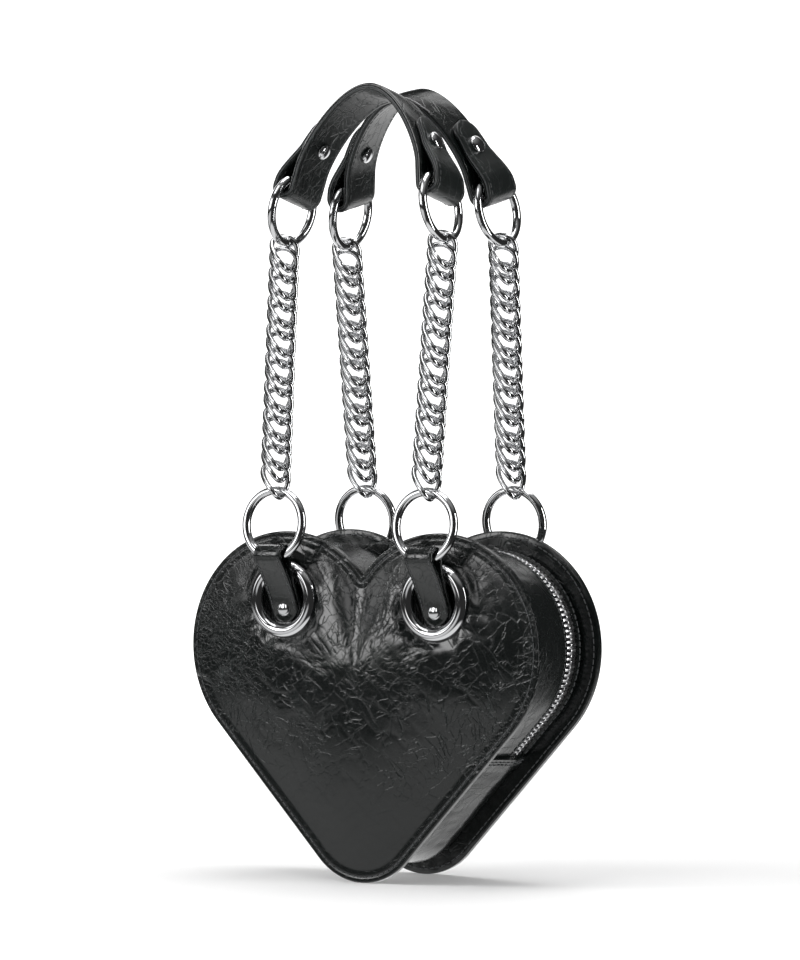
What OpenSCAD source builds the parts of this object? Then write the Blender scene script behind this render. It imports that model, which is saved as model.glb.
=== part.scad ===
// Heart shaped handbag: two padded heart panels sewn to a zipped gusset, with grommets,
// leather tabs, O-rings, four double curb chains and two arched strap handles.
// X runs to the right, Y to the back and Z up; both tips rest on z = 0.

/* [Heart panels] */
// Width over the two lobes
panel_w = 200; // [185:1:215]
// Height from the tip to the top of the lobes
panel_h = 169; // [160:1:180]
// Half the spacing of the lobe centres, as a share of the width
lobe_share = 0.22; // [0.205:0.005:0.235]
// Radius of the rounded tip
tip_r = 34; // [30:0.5:38]
// Depth between the outer faces of the two rims
bag_d = 58.5; // [52:0.5:66]
// Thickness of the facing leather
facing_t = 1.3; // [1:0.1:2]
// Thickness of the panel at its rim, without the facing
rim_t = 1.95; // [1.6:0.05:2.6]
// Thickness of the leather over the padding
skin_t = 1.2; // [0.8:0.1:1.5]
// Width of the flat stitched rim
rim_w = 6; // [4:0.5:9]
// Rise of the padded face above the rim
dome_h = 4.5; // [3:0.5:7]

/* [Gusset] */
// How far the gusset lies inside the edge of the panels
gusset_inset = 9.5; // [8:0.5:14]
// Thickness of the gusset leather
gusset_t = 1.6; // [1:0.1:2.2]
// Thickness of the lining
lining_t = 0.6; // [0.4:0.1:1]

/* [Zip] */
// Distance of the zip behind the middle of the bag
zip_y = 16.7; // [14:0.1:18]
// Width of the window between the leather edges
zip_window = 10.6; // [9.5:0.1:12]
// Length of zip below the lobe, along the straight side
zip_straight = 34.5; // [28:0.5:45]
// Angle of the upper end of the window, round the right lobe
zip_top_a = 124; // [118:1:126]
// Spacing of the teeth in a row
tooth_pitch = 2.6; // [2.2:0.1:3]
// Length of the slider
slider_len = 8.6; // [7:0.2:10]
// Length of the pull
pull_len = 24; // [18:1:26]

/* [Grommets and tabs] */
// How far the grommets lie inside the lobe centres
grommet_in = 0.5; // [0:0.5:2]
// Depth of the grommet centres below the top of the lobes
grommet_drop = 33; // [30:1:36]
// Outer radius of a grommet
grommet_r = 19; // [17.5:0.5:20.5]
// Radius of the opening in a grommet
grommet_hole_r = 12; // [11.5:0.25:12.5]
// Width of a tab
tab_w = 15.5; // [13:0.5:16]
// Thickness of one layer of tab leather
tab_t = 2; // [1.5:0.1:2.4]
// Radius of a tab stud's head
tab_stud_r = 3.7; // [3:0.1:4.5]

/* [Rings and chains] */
// Outer radius of the rings
ring_out_r = 18.35; // [17.4:0.05:19.5]
// Radius of the ring wire
ring_wire_r = 2.1; // [1.8:0.05:2.2]
// Links in one chain
chain_links = 17; // [11:2:21]
// Spacing of the links
link_pitch = 6.84; // [6.8:0.02:7]
// Half the width of a link, to the middle of its wire
link_a = 6.4; // [6.2:0.1:6.8]
// Half the length of a link, to the middle of its wire
link_b = 9; // [8.9:0.05:9.05]
// Half the twist of a link
link_c = 1.85; // [1.8:0.05:2.1]
// Radius of the link wire
link_wire_r = 1.1; // [0.9:0.05:1.1]
// Turn of the chains from the plane of the lower rings
chain_turn = 33; // [30:1:40]

/* [Handles] */
// How far the upper rings lie inside the grommets
upper_ring_in = 0.5; // [0:0.5:2]
// Distance of the upper rings from the middle of the bag
upper_ring_y = 25.5; // [23:0.5:28]
// Tilt of the upper rings, tops inwards
upper_ring_tilt = 10; // [6:1:12]
// Width of the strap
strap_w = 24.5; // [21:0.5:25]
// Thickness of the strap's outer layer
strap_outer_t = 2; // [1.5:0.1:2.4]
// Thickness of the strap's inner layer
strap_inner_t = 1.4; // [1:0.1:2]
// Rise of the strap's middle above the upper rings
arch_h = 57.5; // [52:0.5:66]
// Radius of a handle stud's outer head
handle_stud_r = 4.6; // [3.5:0.1:5.5]

/* [Hidden] */

$fn = 96;

leather = [0.06, 0.07, 0.07];
inner_leather = [0.12, 0.14, 0.15];
chrome = [0.82, 0.83, 0.85];
fabric = [0.16, 0.16, 0.17];
foam = [0.75, 0.72, 0.62];

// Clearances
lap_gap = 0.1;
run_gap = 0.3;
over = 5;

// Heart outline: two lobe circles, one tip circle and their common tangents
lobe_x = lobe_share * panel_w;
lobe_r = panel_w / 2 - lobe_x;
lobe_z = panel_h - lobe_r;
axis_len = norm([lobe_x, lobe_z - tip_r]);
side_a = atan2(lobe_x, lobe_z - tip_r) + asin((lobe_r - tip_r) / axis_len);
notch_z = lobe_z + sqrt(lobe_r * lobe_r - lobe_x * lobe_x);
notch_a = atan2(notch_z - lobe_z, -lobe_x);
side_n = [cos(side_a), -sin(side_a)];

// Distances of the layers from the middle of the bag
facing_in_d = bag_d / 2 - rim_t - facing_t;
facing_out_d = bag_d / 2 - rim_t;
rim_d = bag_d / 2;

// Padding and its rings, as shares of the rim's outline and of the rise
heart_mid_share = 0.55;
heart_mid_z = panel_h * heart_mid_share;
dome_ring_shares = [1, 0.955, 0.88, 0.76, 0.56, 0.3];
dome_rise_power = 6;

// Grommets: a half round ring on a raised seat, a barrel and a washer
grommet_x = lobe_x - grommet_in;
grommet_z = panel_h - grommet_drop;
seat_rise = 2.6;
seat_d = rim_d + seat_rise;
seat_margin = 0.5;
barrel_t = 0.9;
barrel_r = grommet_hole_r + barrel_t;
dome_r = (grommet_r - grommet_hole_r) / 2;
washer_r = 17.3;
washer_t = 1;

// Tabs: a loop round the O-ring and two legs that lie together in the grommet
ring_r = ring_out_r - ring_wire_r;
ring_in_r = ring_r - ring_wire_r;
tab_sag = ring_r - sqrt(ring_r * ring_r - tab_w * tab_w / 4);
loop_in_r = ring_wire_r + tab_sag / 2 + run_gap;
loop_out_r = loop_in_r + tab_t;
tab_rim_clear = 0.9;
loop_d = seat_d + dome_r + tab_rim_clear + loop_out_r;
loop_drop = 2.5;
loop_z = grommet_z + grommet_r + loop_drop;
tab_tongue_z = grommet_z - grommet_hole_r + tab_w / 2 + 2 * run_gap;
tab_stud_drop = 1;
tab_stud_z = tab_tongue_z - tab_stud_drop;
tab_bend_share = 0.2;
tab_bend_z = grommet_z - tab_bend_share * (grommet_hole_r - tab_sag);
rim_mid_r = grommet_hole_r + dome_r;
tab_crest_z = grommet_z + sqrt(rim_mid_r * rim_mid_r - tab_w * tab_w / 4);
tab_crest_d = seat_d + dome_r + tab_rim_clear;
stud_shank_r = 1.6;
stud_head_h = 2;
plate_t = 1.2;
plate_w = 22;

// Rings and chains, in the frame of a pair of chains
upper_ring_x = grommet_x - upper_ring_in;
ring_bottom_gap = tab_sag / 2;
o_ring_mid = ring_r - ring_bottom_gap;
chain_foot = o_ring_mid + ring_r;
link_play = 0.15;
link_end = ring_wire_r + link_wire_r + link_play;
chain_len = 2 * link_b + (chain_links - 1) * link_pitch - 2 * link_end;
chain_head = chain_foot + chain_len;
upper_mid = chain_head + ring_r * cos(upper_ring_tilt);
chain_head_x = upper_ring_x + ring_r * sin(upper_ring_tilt);
chain_lean_x = atan2(chain_head_x - grommet_x, chain_len);
chain_lean = asin((loop_d - upper_ring_y) / upper_mid);

// Strap: a path in the plane of the arch, with the outer layer on one side of it
ring_play = 0.95;
slot_half = ring_wire_r + ring_play;
slot_gap = 0.5;
slot_low = sqrt(ring_in_r * ring_in_r - strap_w * strap_w / 4) - slot_gap;
fold_z = slot_low + slot_half;
fold_r = slot_half + strap_outer_t;
strap_t = strap_outer_t + strap_inner_t;
leg_top = ring_out_r + 1.7;
leg_pull = 12;
arch_pull = 16;
tongue_gap = 0.15;
tongue_near_share = 0.2;
tongue_end_share = 0.48;
tongue_foot = ring_out_r - 2.2;
tongue_end_r = 8.5;
handle_stud_share = 0.25;
arch_steps = 24;
handle_gap = 0.4;
arch_top = arch_h + strap_outer_t;
arch_reach = norm([arch_top, strap_w / 2]);
handle_lean = asin((upper_ring_y - handle_gap) / arch_reach) - atan2(strap_w / 2, arch_top);
handle_shank_r = 1.7;
inner_head_r = 4;
head_h = 2.2;

// Zip, round the right lobe: distances from the lobe's centre
gusset_r = lobe_r - gusset_inset;
tape_out_r = gusset_r - gusset_t - lap_gap;
tape_t = 0.6;
tape_lap = 5;
tooth_h = 2.4;
tooth_w = 2.6;
tooth_len = 1.25;
tooth_slit = 1.4;
tooth_mid_r = tape_out_r - tape_t / 2;
tooth_out_y = tooth_slit / 2 + tooth_w;
zip_lo_y = zip_y - zip_window / 2;
zip_hi_y = zip_y + zip_window / 2;
plate_rise = 1.2;
slider_w = 8;
slider_top_r = tooth_mid_r + tooth_h / 2 + run_gap;
slider_low_r = tooth_mid_r - tooth_h / 2 - run_gap;
slider_half_a = slider_len / 2 / tooth_mid_r * 180 / PI;
stop_len = 2;
stop_a = stop_len / tooth_mid_r * 180 / PI;
slider_rest_a = zip_top_a - 2 * stop_a - slider_half_a;
lug_h = 3.2;
lug_w = 1.8;
pull_pin_r = 0.7;
pull_pin_share = 0.6;
pull_pivot_r = slider_top_r + plate_rise + lug_h * pull_pin_share;
pull_w = 6;
pull_t = 1.5;
pull_ear_w = 1.2;
pull_hole_r = 1.5;

// Points of a heart outline that lies inset inside the panel's edge, as [x, z].
// A detail of 1 gives the padded faces' rings, and 2 or more the cut edges.
edge_detail = 3;
notch_steps = 2;
lobe_steps = 10;
tip_steps = 4;

function arc_pts(centre, r, from_a, to_a, first, steps) =
    [for (i = [first : steps])
        let (a = from_a + (to_a - from_a) * i / steps) centre + r * [cos(a), sin(a)]];
function half_heart(inset, detail) = concat(
    inset > 0 ? arc_pts([0, notch_z], inset, -90, notch_a - 180, 0, notch_steps * detail)
              : [[0, notch_z]],
    arc_pts([lobe_x, lobe_z], lobe_r - inset, notch_a, -side_a, 1, lobe_steps * detail),
    arc_pts([0, tip_r], tip_r - inset, -side_a, -90, 0, tip_steps * detail));
function mirrored(pts) = [for (i = [len(pts) - 2 : -1 : 1]) [-pts[i].x, pts[i].y]];
function heart_pts(inset, detail) =
    let (half = half_heart(inset, detail)) concat(half, mirrored(half));

module heart_2d(inset) {
    polygon(heart_pts(inset, edge_detail));
}

// Stands an outline drawn in X and Z between two depths
module slab(y0, y1) {
    translate([0, y1, 0])
        rotate([90, 0, 0])
            linear_extrude(y1 - y0)
                children();
}

module y_rod(r, y0, y1) {
    translate([0, y1, 0])
        rotate([90, 0, 0])
            cylinder(r = r, h = y1 - y0);
}

// The back of the bag is the front turned half round
module turned(back) {
    rotate([0, 0, back ? 180 : 0])
        children();
}

module at_grommets() {
    for (side = [-1, 1])
        translate([side * grommet_x, 0, grommet_z])
            children();
}

// Panels

// A padded heart, flat at base_d and domed outwards from side_d
module pad_dome(inset, base_d, side_d, rise) {
    rim = heart_pts(inset, 1);
    n = len(rim);
    rings = len(dome_ring_shares);
    centre = [0, heart_mid_z];
    function ring_pt(p, share, d) = let (q = centre + share * (p - centre)) [q.x, -d, q.y];
    points = concat(
        [for (p = rim) ring_pt(p, 1, base_d)],
        [for (share = dome_ring_shares, p = rim)
            ring_pt(p, share, side_d + rise * (1 - pow(share, dome_rise_power)))],
        [[0, -base_d, heart_mid_z], [0, -side_d - rise, heart_mid_z]]);
    base_mid = n * (rings + 1);
    faces = concat(
        [for (k = [0 : rings - 1], i = [0 : n - 1])
            let (a = k * n, b = a + n, j = (i + 1) % n) [a + i, b + j, b + i]],
        [for (k = [0 : rings - 1], i = [0 : n - 1])
            let (a = k * n, b = a + n, j = (i + 1) % n) [a + i, a + j, b + j]],
        [for (i = [0 : n - 1]) [i, base_mid, (i + 1) % n]],
        [for (i = [0 : n - 1]) [rings * n + (i + 1) % n, base_mid + 1, rings * n + i]]);
    polyhedron(points, faces, convexity = 4);
}

module padding_shape() {
    difference() {
        pad_dome(rim_w + skin_t, facing_out_d, rim_d - skin_t, dome_h);
        at_grommets() {
            y_rod(barrel_r + lap_gap, -rim_d - dome_h - over, 0);
            y_rod(washer_r + lap_gap, -facing_out_d - washer_t - lap_gap, 0);
            y_rod(grommet_r + seat_margin + skin_t, -rim_d - dome_h - over, -seat_d + skin_t);
        }
    }
}

module panel() {
    difference() {
        union() {
            slab(-rim_d, -facing_out_d)
                heart_2d(0);
            pad_dome(rim_w, facing_out_d, rim_d, dome_h);
            at_grommets()
                y_rod(grommet_r + seat_margin, -seat_d, -facing_out_d);
        }
        padding_shape();
        at_grommets() {
            y_rod(barrel_r + lap_gap, -rim_d - dome_h - over, 0);
            y_rod(washer_r + lap_gap, -facing_out_d - washer_t - lap_gap, 0);
            y_rod(grommet_r + seat_margin, -rim_d - dome_h - over, -seat_d);
        }
    }
}

module front_panel() { color(leather) panel(); }
module back_panel() { color(leather) turned(true) panel(); }
module front_padding() { color(foam) padding_shape(); }
module back_padding() { color(foam) turned(true) padding_shape(); }

// The facing closes the back of each grommet, with a hole for the tab's stud
module facing() {
    difference() {
        slab(-facing_out_d, -facing_in_d)
            heart_2d(0);
        at_tab_studs()
            y_rod(stud_shank_r + lap_gap, -rim_d - over, 0);
    }
}

module front_panel_facing() { color(inner_leather) facing(); }
module back_panel_facing() { color(inner_leather) turned(true) facing(); }

// Gusset and zip

module gusset_2d(inset, t) {
    difference() {
        heart_2d(inset);
        heart_2d(inset + t);
    }
}

// The part of the outline that the zip runs along, on the right side
module zip_zone_2d() {
    far = panel_w / 2;
    lobe = [lobe_x, lobe_z];
    down = zip_straight * [-sin(side_a), -cos(side_a)];
    polygon([
        lobe,
        lobe + far * [cos(zip_top_a), sin(zip_top_a)],
        lobe + far * [1, 1],
        lobe + 2 * far * side_n,
        lobe + 2 * far * side_n + down,
        lobe + down]);
}

module gusset_base() {
    color(leather)
        slab(-facing_in_d, facing_in_d)
            difference() {
                gusset_2d(gusset_inset, gusset_t);
                zip_zone_2d();
            }
}

module gusset_strip(y0, y1) {
    color(leather)
        slab(y0, y1)
            intersection() {
                gusset_2d(gusset_inset, gusset_t);
                zip_zone_2d();
            }
}

module gusset_front_strip() { gusset_strip(-facing_in_d, zip_lo_y); }
module gusset_back_strip() { gusset_strip(zip_hi_y, facing_in_d); }

module zip_tape(y0, y1) {
    color(fabric)
        slab(y0, y1)
            intersection() {
                gusset_2d(gusset_inset + gusset_t + lap_gap, tape_t);
                zip_zone_2d();
            }
}

module zip_tape_front() { zip_tape(zip_lo_y - tape_lap, zip_y - tooth_out_y); }
module zip_tape_back() { zip_tape(zip_y + tooth_out_y, min(zip_hi_y + tape_lap, facing_in_d - lap_gap)); }

// Places a piece on the zip's path: X outwards, Z along the path towards the notch
module on_lobe(a) {
    translate([lobe_x, 0, lobe_z])
        rotate([0, -a, 0])
            children();
}

module on_zip(s) {
    arc_len = (zip_top_a + side_a) * PI / 180 * tooth_mid_r;
    if (s < arc_len)
        on_lobe(zip_top_a - s / tooth_mid_r * 180 / PI)
            children();
    else
        on_lobe(-side_a)
            translate([0, 0, arc_len - s])
                children();
}

zip_len = (zip_top_a + side_a) * PI / 180 * tooth_mid_r + zip_straight;

module tooth_row(side, shift) {
    first = stop_len + tooth_pitch * (1 + shift);
    color(chrome)
        for (s = [first : tooth_pitch : zip_len - stop_len - tooth_pitch])
            on_zip(s)
                translate([tooth_mid_r - tooth_h / 2,
                           zip_y + side * (tooth_slit + tooth_w) / 2 - tooth_w / 2,
                           -tooth_len / 2])
                    cube([tooth_h, tooth_w, tooth_len]);
}

module zip_teeth_front() { tooth_row(-1, 0); }
module zip_teeth_back() { tooth_row(1, 0.5); }

module zip_end_stops() {
    color(chrome)
        for (s = [stop_len / 2 + lap_gap, zip_len - stop_len / 2 - lap_gap])
            on_zip(s)
                translate([tooth_mid_r - tooth_h / 2, zip_y - tooth_out_y, -stop_len / 2])
                    cube([tooth_h, 2 * tooth_out_y, stop_len]);
}

// A block bent round the right lobe, between two distances, depths and angles
module lobe_sector(r0, r1, y0, y1, half_a) {
    rotate([90, 0, 0])
        rotate([0, 0, -half_a])
            rotate_extrude(angle = 2 * half_a)
                translate([r0, -y1])
                    square([r1 - r0, y1 - y0]);
}

module zip_slider() {
    lip = 0.7;
    lip_in_y = tooth_out_y + run_gap;
    tape_in_r = tape_out_r - tape_t;
    color(chrome)
        on_lobe(slider_rest_a)
            difference() {
                union() {
                    lobe_sector(slider_top_r, slider_top_r + plate_rise,
                                zip_y - slider_w / 2, zip_y + slider_w / 2, slider_half_a);
                    lobe_sector(slider_low_r - plate_rise, slider_low_r,
                                zip_y - slider_w / 2, zip_y + slider_w / 2, slider_half_a);
                    lobe_sector(slider_low_r - plate_rise / 2, slider_top_r + plate_rise / 2,
                                zip_y - tooth_slit / 2 + run_gap,
                                zip_y + tooth_slit / 2 - run_gap, slider_half_a / 2);
                    for (side = [-1, 1]) {
                        y0 = zip_y + (side > 0 ? lip_in_y : -lip_in_y - lip);
                        lobe_sector(tape_out_r + run_gap, slider_top_r + plate_rise / 2,
                                    y0, y0 + lip, slider_half_a - stop_a / 2);
                        lobe_sector(slider_low_r - plate_rise / 2, tape_in_r - run_gap,
                                    y0, y0 + lip, slider_half_a - stop_a / 2);
                    }
                    translate([pull_pivot_r, 0, 0])
                        y_rod(lug_h - lug_h * pull_pin_share, zip_y - lug_w / 2, zip_y + lug_w / 2);
                    translate([slider_top_r + plate_rise / 2, zip_y - lug_w / 2, -lug_w / 2])
                        cube([lug_h * pull_pin_share, lug_w, lug_w]);
                }
                translate([pull_pivot_r, 0, 0])
                    y_rod(pull_pin_r + lap_gap, zip_y - slider_w, zip_y + slider_w);
            }
}

// The pull lies back along the gusset, towards the notch
module zip_pull() {
    ear_in = lug_w / 2 + run_gap;
    neck = lug_h;
    color(chrome)
        on_lobe(slider_rest_a)
            translate([pull_pivot_r, zip_y, 0]) {
                y_rod(pull_pin_r, -ear_in - pull_ear_w, ear_in + pull_ear_w);
                for (side = [-1, 1]) {
                    y0 = side > 0 ? ear_in : -ear_in - pull_ear_w;
                    difference() {
                        union() {
                            y_rod(pull_t / 2 + lap_gap, y0, y0 + pull_ear_w);
                            translate([-pull_t / 2, y0, 0])
                                cube([pull_t, pull_ear_w, neck]);
                        }
                        y_rod(pull_pin_r, -pull_w, pull_w);
                    }
                }
                translate([-pull_t / 2, 0, 0])
                    rotate([90, 0, 90])
                        linear_extrude(pull_t)
                            difference() {
                                union() {
                                    translate([-ear_in - pull_ear_w, neck / 2 + pull_t])
                                        square([2 * (ear_in + pull_ear_w), neck]);
                                    translate([-pull_w / 2, neck + pull_t])
                                        square([pull_w, pull_len - neck - pull_t - pull_w / 2]);
                                    translate([0, pull_len - pull_w / 2])
                                        circle(pull_w / 2);
                                }
                                translate([0, pull_len - pull_w / 2])
                                    circle(pull_hole_r);
                            }
            }
}

// Lining: a bag inside the bag, open along the zip
module lining() {
    wall_inset = gusset_inset + gusset_t + lap_gap;
    wall_d = facing_in_d - plate_t - lap_gap;
    color(fabric)
        difference() {
            slab(-wall_d, wall_d)
                heart_2d(wall_inset);
            slab(-wall_d + lining_t, wall_d - lining_t)
                heart_2d(wall_inset + lining_t);
            slab(zip_lo_y - tape_lap - lap_gap, wall_d - lining_t)
                intersection() {
                    gusset_2d(wall_inset - lap_gap, lining_t + 2 * lap_gap);
                    zip_zone_2d();
                }
            slab(zip_lo_y - tape_lap - lap_gap, wall_d + over)
                intersection() {
                    gusset_2d(wall_inset - lap_gap, tape_t + 2 * lap_gap);
                    zip_zone_2d();
                }
        }
}

// Grommets

module grommet_pair() {
    color(chrome)
        at_grommets() {
            translate([0, -seat_d, 0])
                rotate([90, 0, 0])
                    rotate_extrude()
                        translate([grommet_hole_r + dome_r, 0])
                            intersection() {
                                circle(dome_r);
                                translate([-dome_r, 0])
                                    square([2 * dome_r, dome_r]);
                            }
            difference() {
                y_rod(barrel_r, -seat_d, -facing_out_d);
                y_rod(grommet_hole_r, -seat_d - over, 0);
            }
        }
}

module washer_pair() {
    color(chrome)
        at_grommets()
            difference() {
                y_rod(washer_r, -facing_out_d - washer_t, -facing_out_d);
                y_rod(barrel_r + lap_gap, -rim_d, 0);
            }
}

module front_grommets() { grommet_pair(); }
module back_grommets() { turned(true) grommet_pair(); }
module front_grommet_washers() { washer_pair(); }
module back_grommet_washers() { turned(true) washer_pair(); }

// Tabs

module at_tabs() {
    for (side = [-1, 1])
        translate([side * grommet_x, 0, 0])
            children();
}

module at_tab_studs() {
    at_tabs()
        translate([0, 0, tab_stud_z])
            children();
}

// A tab seen from its side, as [distance from the middle of the bag, z]
module tab_side_2d() {
    back_d = facing_out_d;
    front_d = facing_out_d + 2 * tab_t;
    crest_front_d = tab_crest_d + 2 * tab_t;
    union() {
        translate([loop_d, loop_z])
            circle(loop_out_r);
        polygon([
            [back_d, tab_tongue_z - tab_w],
            [back_d, tab_bend_z],
            [tab_crest_d, tab_crest_z],
            [loop_d - loop_out_r, loop_z],
            [loop_d, loop_z],
            [loop_d + loop_out_r * cos(side_a / 2), loop_z - loop_out_r * sin(side_a / 2)],
            [crest_front_d, tab_crest_z - tab_t],
            [front_d, tab_bend_z - tab_t / 2],
            [front_d, tab_tongue_z - tab_w]]);
    }
}

module tab_pair() {
    color(leather)
        at_tabs()
            difference() {
                intersection() {
                    translate([-tab_w / 2, 0, 0])
                        rotate([90, 0, -90])
                            mirror([0, 0, 1])
                                linear_extrude(tab_w)
                                    tab_side_2d();
                    union() {
                        translate([0, 0, tab_tongue_z])
                            y_rod(tab_w / 2, -loop_d - loop_out_r - over, 0);
                        translate([-tab_w / 2 - over, -loop_d - loop_out_r - over, tab_tongue_z])
                            cube([tab_w + 2 * over, loop_d + loop_out_r + over, grommet_z]);
                    }
                }
                translate([-tab_w / 2 - over, -loop_d, loop_z])
                    rotate([0, 90, 0])
                        cylinder(r = loop_in_r, h = tab_w + 2 * over);
                translate([0, 0, tab_stud_z]) {
                    y_rod(stud_shank_r + lap_gap, -rim_d - over, 0);
                    y_rod(tab_stud_r + lap_gap, -loop_d, -facing_out_d - 2 * tab_t);
                }
            }
}

module front_tabs() { tab_pair(); }
module back_tabs() { turned(true) tab_pair(); }

module tab_stud_pair() {
    head_d = facing_out_d + 2 * tab_t;
    color(chrome)
        at_tab_studs() {
            y_rod(stud_shank_r, -head_d, -facing_in_d + plate_t);
            y_rod(tab_stud_r, -head_d - stud_head_h / 2, -head_d);
            translate([0, -head_d - stud_head_h / 2, 0])
                rotate([90, 0, 0])
                    cylinder(r1 = tab_stud_r, r2 = tab_stud_r - stud_head_h / 2, h = stud_head_h / 2);
        }
}

module front_tab_studs() { tab_stud_pair(); }
module back_tab_studs() { turned(true) tab_stud_pair(); }

module anchor_plate_pair() {
    color(chrome)
        at_tab_studs()
            difference() {
                translate([-plate_w / 2, -facing_in_d, -plate_w / 2])
                    cube([plate_w, plate_t, plate_w]);
                y_rod(stud_shank_r + lap_gap, -rim_d, 0);
            }
}

module front_anchor_plates() { anchor_plate_pair(); }
module back_anchor_plates() { turned(true) anchor_plate_pair(); }

// Rings and chains

// The frame of the front chains: its origin is the middle of the tab loops, Z up the chains
module bail_frame() {
    translate([0, -loop_d, loop_z])
        rotate([-chain_lean, 0, 0])
            children();
}

module handle_frame() {
    bail_frame()
        translate([0, 0, upper_mid])
            rotate([chain_lean - handle_lean, 0, 0])
                children();
}

module wire_ring() {
    rotate_extrude()
        translate([ring_r, 0])
            circle(ring_wire_r, $fn = 48);
}

module o_ring_pair() {
    color(chrome)
        bail_frame()
            for (side = [-1, 1])
                translate([side * grommet_x, 0, o_ring_mid])
                    rotate([90, 0, 0])
                        wire_ring();
}

module handle_ring_pair() {
    color(chrome)
        handle_frame()
            for (side = [-1, 1])
                translate([side * upper_ring_x, 0, 0])
                    rotate([0, 90 - side * upper_ring_tilt, 0])
                        wire_ring();
}

module front_o_rings() { o_ring_pair(); }
module back_o_rings() { turned(true) o_ring_pair(); }
module front_handle_rings() { handle_ring_pair(); }
module back_handle_rings() { turned(true) handle_ring_pair(); }

// One twisted oval link, swept round its wire's middle line
link_steps = 14;
link_sides = 6;

function link_mid(t) = [link_a * cos(t), -link_c * sin(2 * t), link_b * sin(t)];
function link_dir(t) = let (d = [-link_a * sin(t), -2 * link_c * cos(2 * t), link_b * cos(t)]) d / norm(d);

module link() {
    points = [for (i = [0 : link_steps - 1], k = [0 : link_sides - 1])
        let (t = 360 * i / link_steps,
             d = link_dir(t),
             u = cross(d, [0, 1, 0]) / norm(cross(d, [0, 1, 0])),
             v = cross(d, u),
             a = 360 * k / link_sides)
        link_mid(t) + link_wire_r * (cos(a) * u + sin(a) * v)];
    faces = [for (i = [0 : link_steps - 1], k = [0 : link_sides - 1])
        let (j = (i + 1) % link_steps, m = (k + 1) % link_sides)
        for (half = [0, 1])
            half == 0
                ? [i * link_sides + k, i * link_sides + m, j * link_sides + m]
                : [i * link_sides + k, j * link_sides + m, j * link_sides + k]];
    polyhedron(points, faces, convexity = 4);
}

module chain(side, turn) {
    color(chrome)
        bail_frame()
            translate([side * grommet_x, 0, chain_foot])
                rotate([0, side * chain_lean_x, 0])
                    for (i = [0 : chain_links - 1])
                        translate([0, 0, link_b - link_end + i * link_pitch])
                            rotate([0, 0, turn])
                                link();
}

module front_left_chain() { chain(-1, chain_turn); }
module front_right_chain() { chain(1, chain_turn); }
module back_left_chain() { turned(true) chain(1, chain_turn); }
module back_right_chain() { turned(true) chain(-1, chain_turn); }

// Handles

// Turns a point of the tilted end of the strap, at the right ring, into the arch's plane
function tilted(p) = [
    upper_ring_x + p.x * cos(upper_ring_tilt) - p.y * sin(upper_ring_tilt),
    p.x * sin(upper_ring_tilt) + p.y * cos(upper_ring_tilt)];

arch_foot = tilted([-fold_r, leg_top]);
arch_rise = [-sin(upper_ring_tilt), cos(upper_ring_tilt)];
arch_pts = [arch_foot, arch_foot + leg_pull * arch_rise, [arch_pull, arch_h], [0, arch_h]];

function bezier(t) =
    pow(1 - t, 3) * arch_pts[0] + 3 * pow(1 - t, 2) * t * arch_pts[1]
    + 3 * (1 - t) * t * t * arch_pts[2] + pow(t, 3) * arch_pts[3];
function bezier_dir(t) =
    let (d = pow(1 - t, 2) * (arch_pts[1] - arch_pts[0])
             + 2 * (1 - t) * t * (arch_pts[2] - arch_pts[1])
             + t * t * (arch_pts[3] - arch_pts[2]))
    d / norm(d);
function bezier_out(t) = let (d = bezier_dir(t)) [d.y, -d.x];

// The main band from the middle of the arch down to the fold, offset outwards by off
function band_half(off) = concat(
    [for (i = [arch_steps : -1 : 0])
        let (t = i / arch_steps) bezier(t) + off * bezier_out(t)],
    [tilted([-fold_r + off, fold_z])]);

// The fold under the ring and the tongue's foot, at the same offset
function fold_half(off) =
    [for (a = [180 : 15 : 360])
        tilted([(fold_r - off) * cos(a), fold_z + (fold_r - off) * sin(a)])];

// The tongue, which lies against the outside of the band above the ring
tongue_steps = 5;
tongue_shift = 2 * strap_outer_t + tongue_gap;
function tongue_half(off) = concat(
    [tilted([fold_r - off, tongue_foot])],
    [for (i = [0 : tongue_steps])
        let (t = tongue_near_share + (tongue_end_share - tongue_near_share) * i / tongue_steps)
        bezier(t) + (tongue_shift - off) * bezier_out(t)]);

function flipped(pts) = [for (i = [len(pts) - 1 : -1 : 0]) pts[i]];
function other_side(pts) = [for (p = pts) [-p.x, p.y]];

// The outline of one strap layer between two offsets from the strap's middle line
module band_2d(off0, off1) {
    near = concat(flipped(other_side(band_half(off0))), band_half(off0));
    far = concat(flipped(other_side(band_half(off1))), band_half(off1));
    union() {
        polygon(concat(near, flipped(far)));
        for (side = [-1, 1])
            mirror([side < 0 ? 1 : 0, 0])
                polygon(concat(fold_half(off0), flipped(fold_half(off1))));
    }
}

module tongue_2d(off0, off1) {
    polygon(concat(
        [tilted([fold_r - off0, fold_z])], tongue_half(off0),
        flipped(tongue_half(off1)), [tilted([fold_r - off1, fold_z])]));
}

module strap_slab() {
    translate([0, strap_w / 2, 0])
        rotate([90, 0, 0])
            linear_extrude(strap_w)
                children();
}

// Places a piece at a handle stud: X outwards through the strap
module at_handle_stud(side) {
    p = bezier(handle_stud_share);
    d = bezier_dir(handle_stud_share);
    mirror([side < 0 ? 1 : 0, 0, 0])
        translate([p.x, 0, p.y])
            rotate([0, atan2(d.x, d.y), 0])
                children();
}

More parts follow.
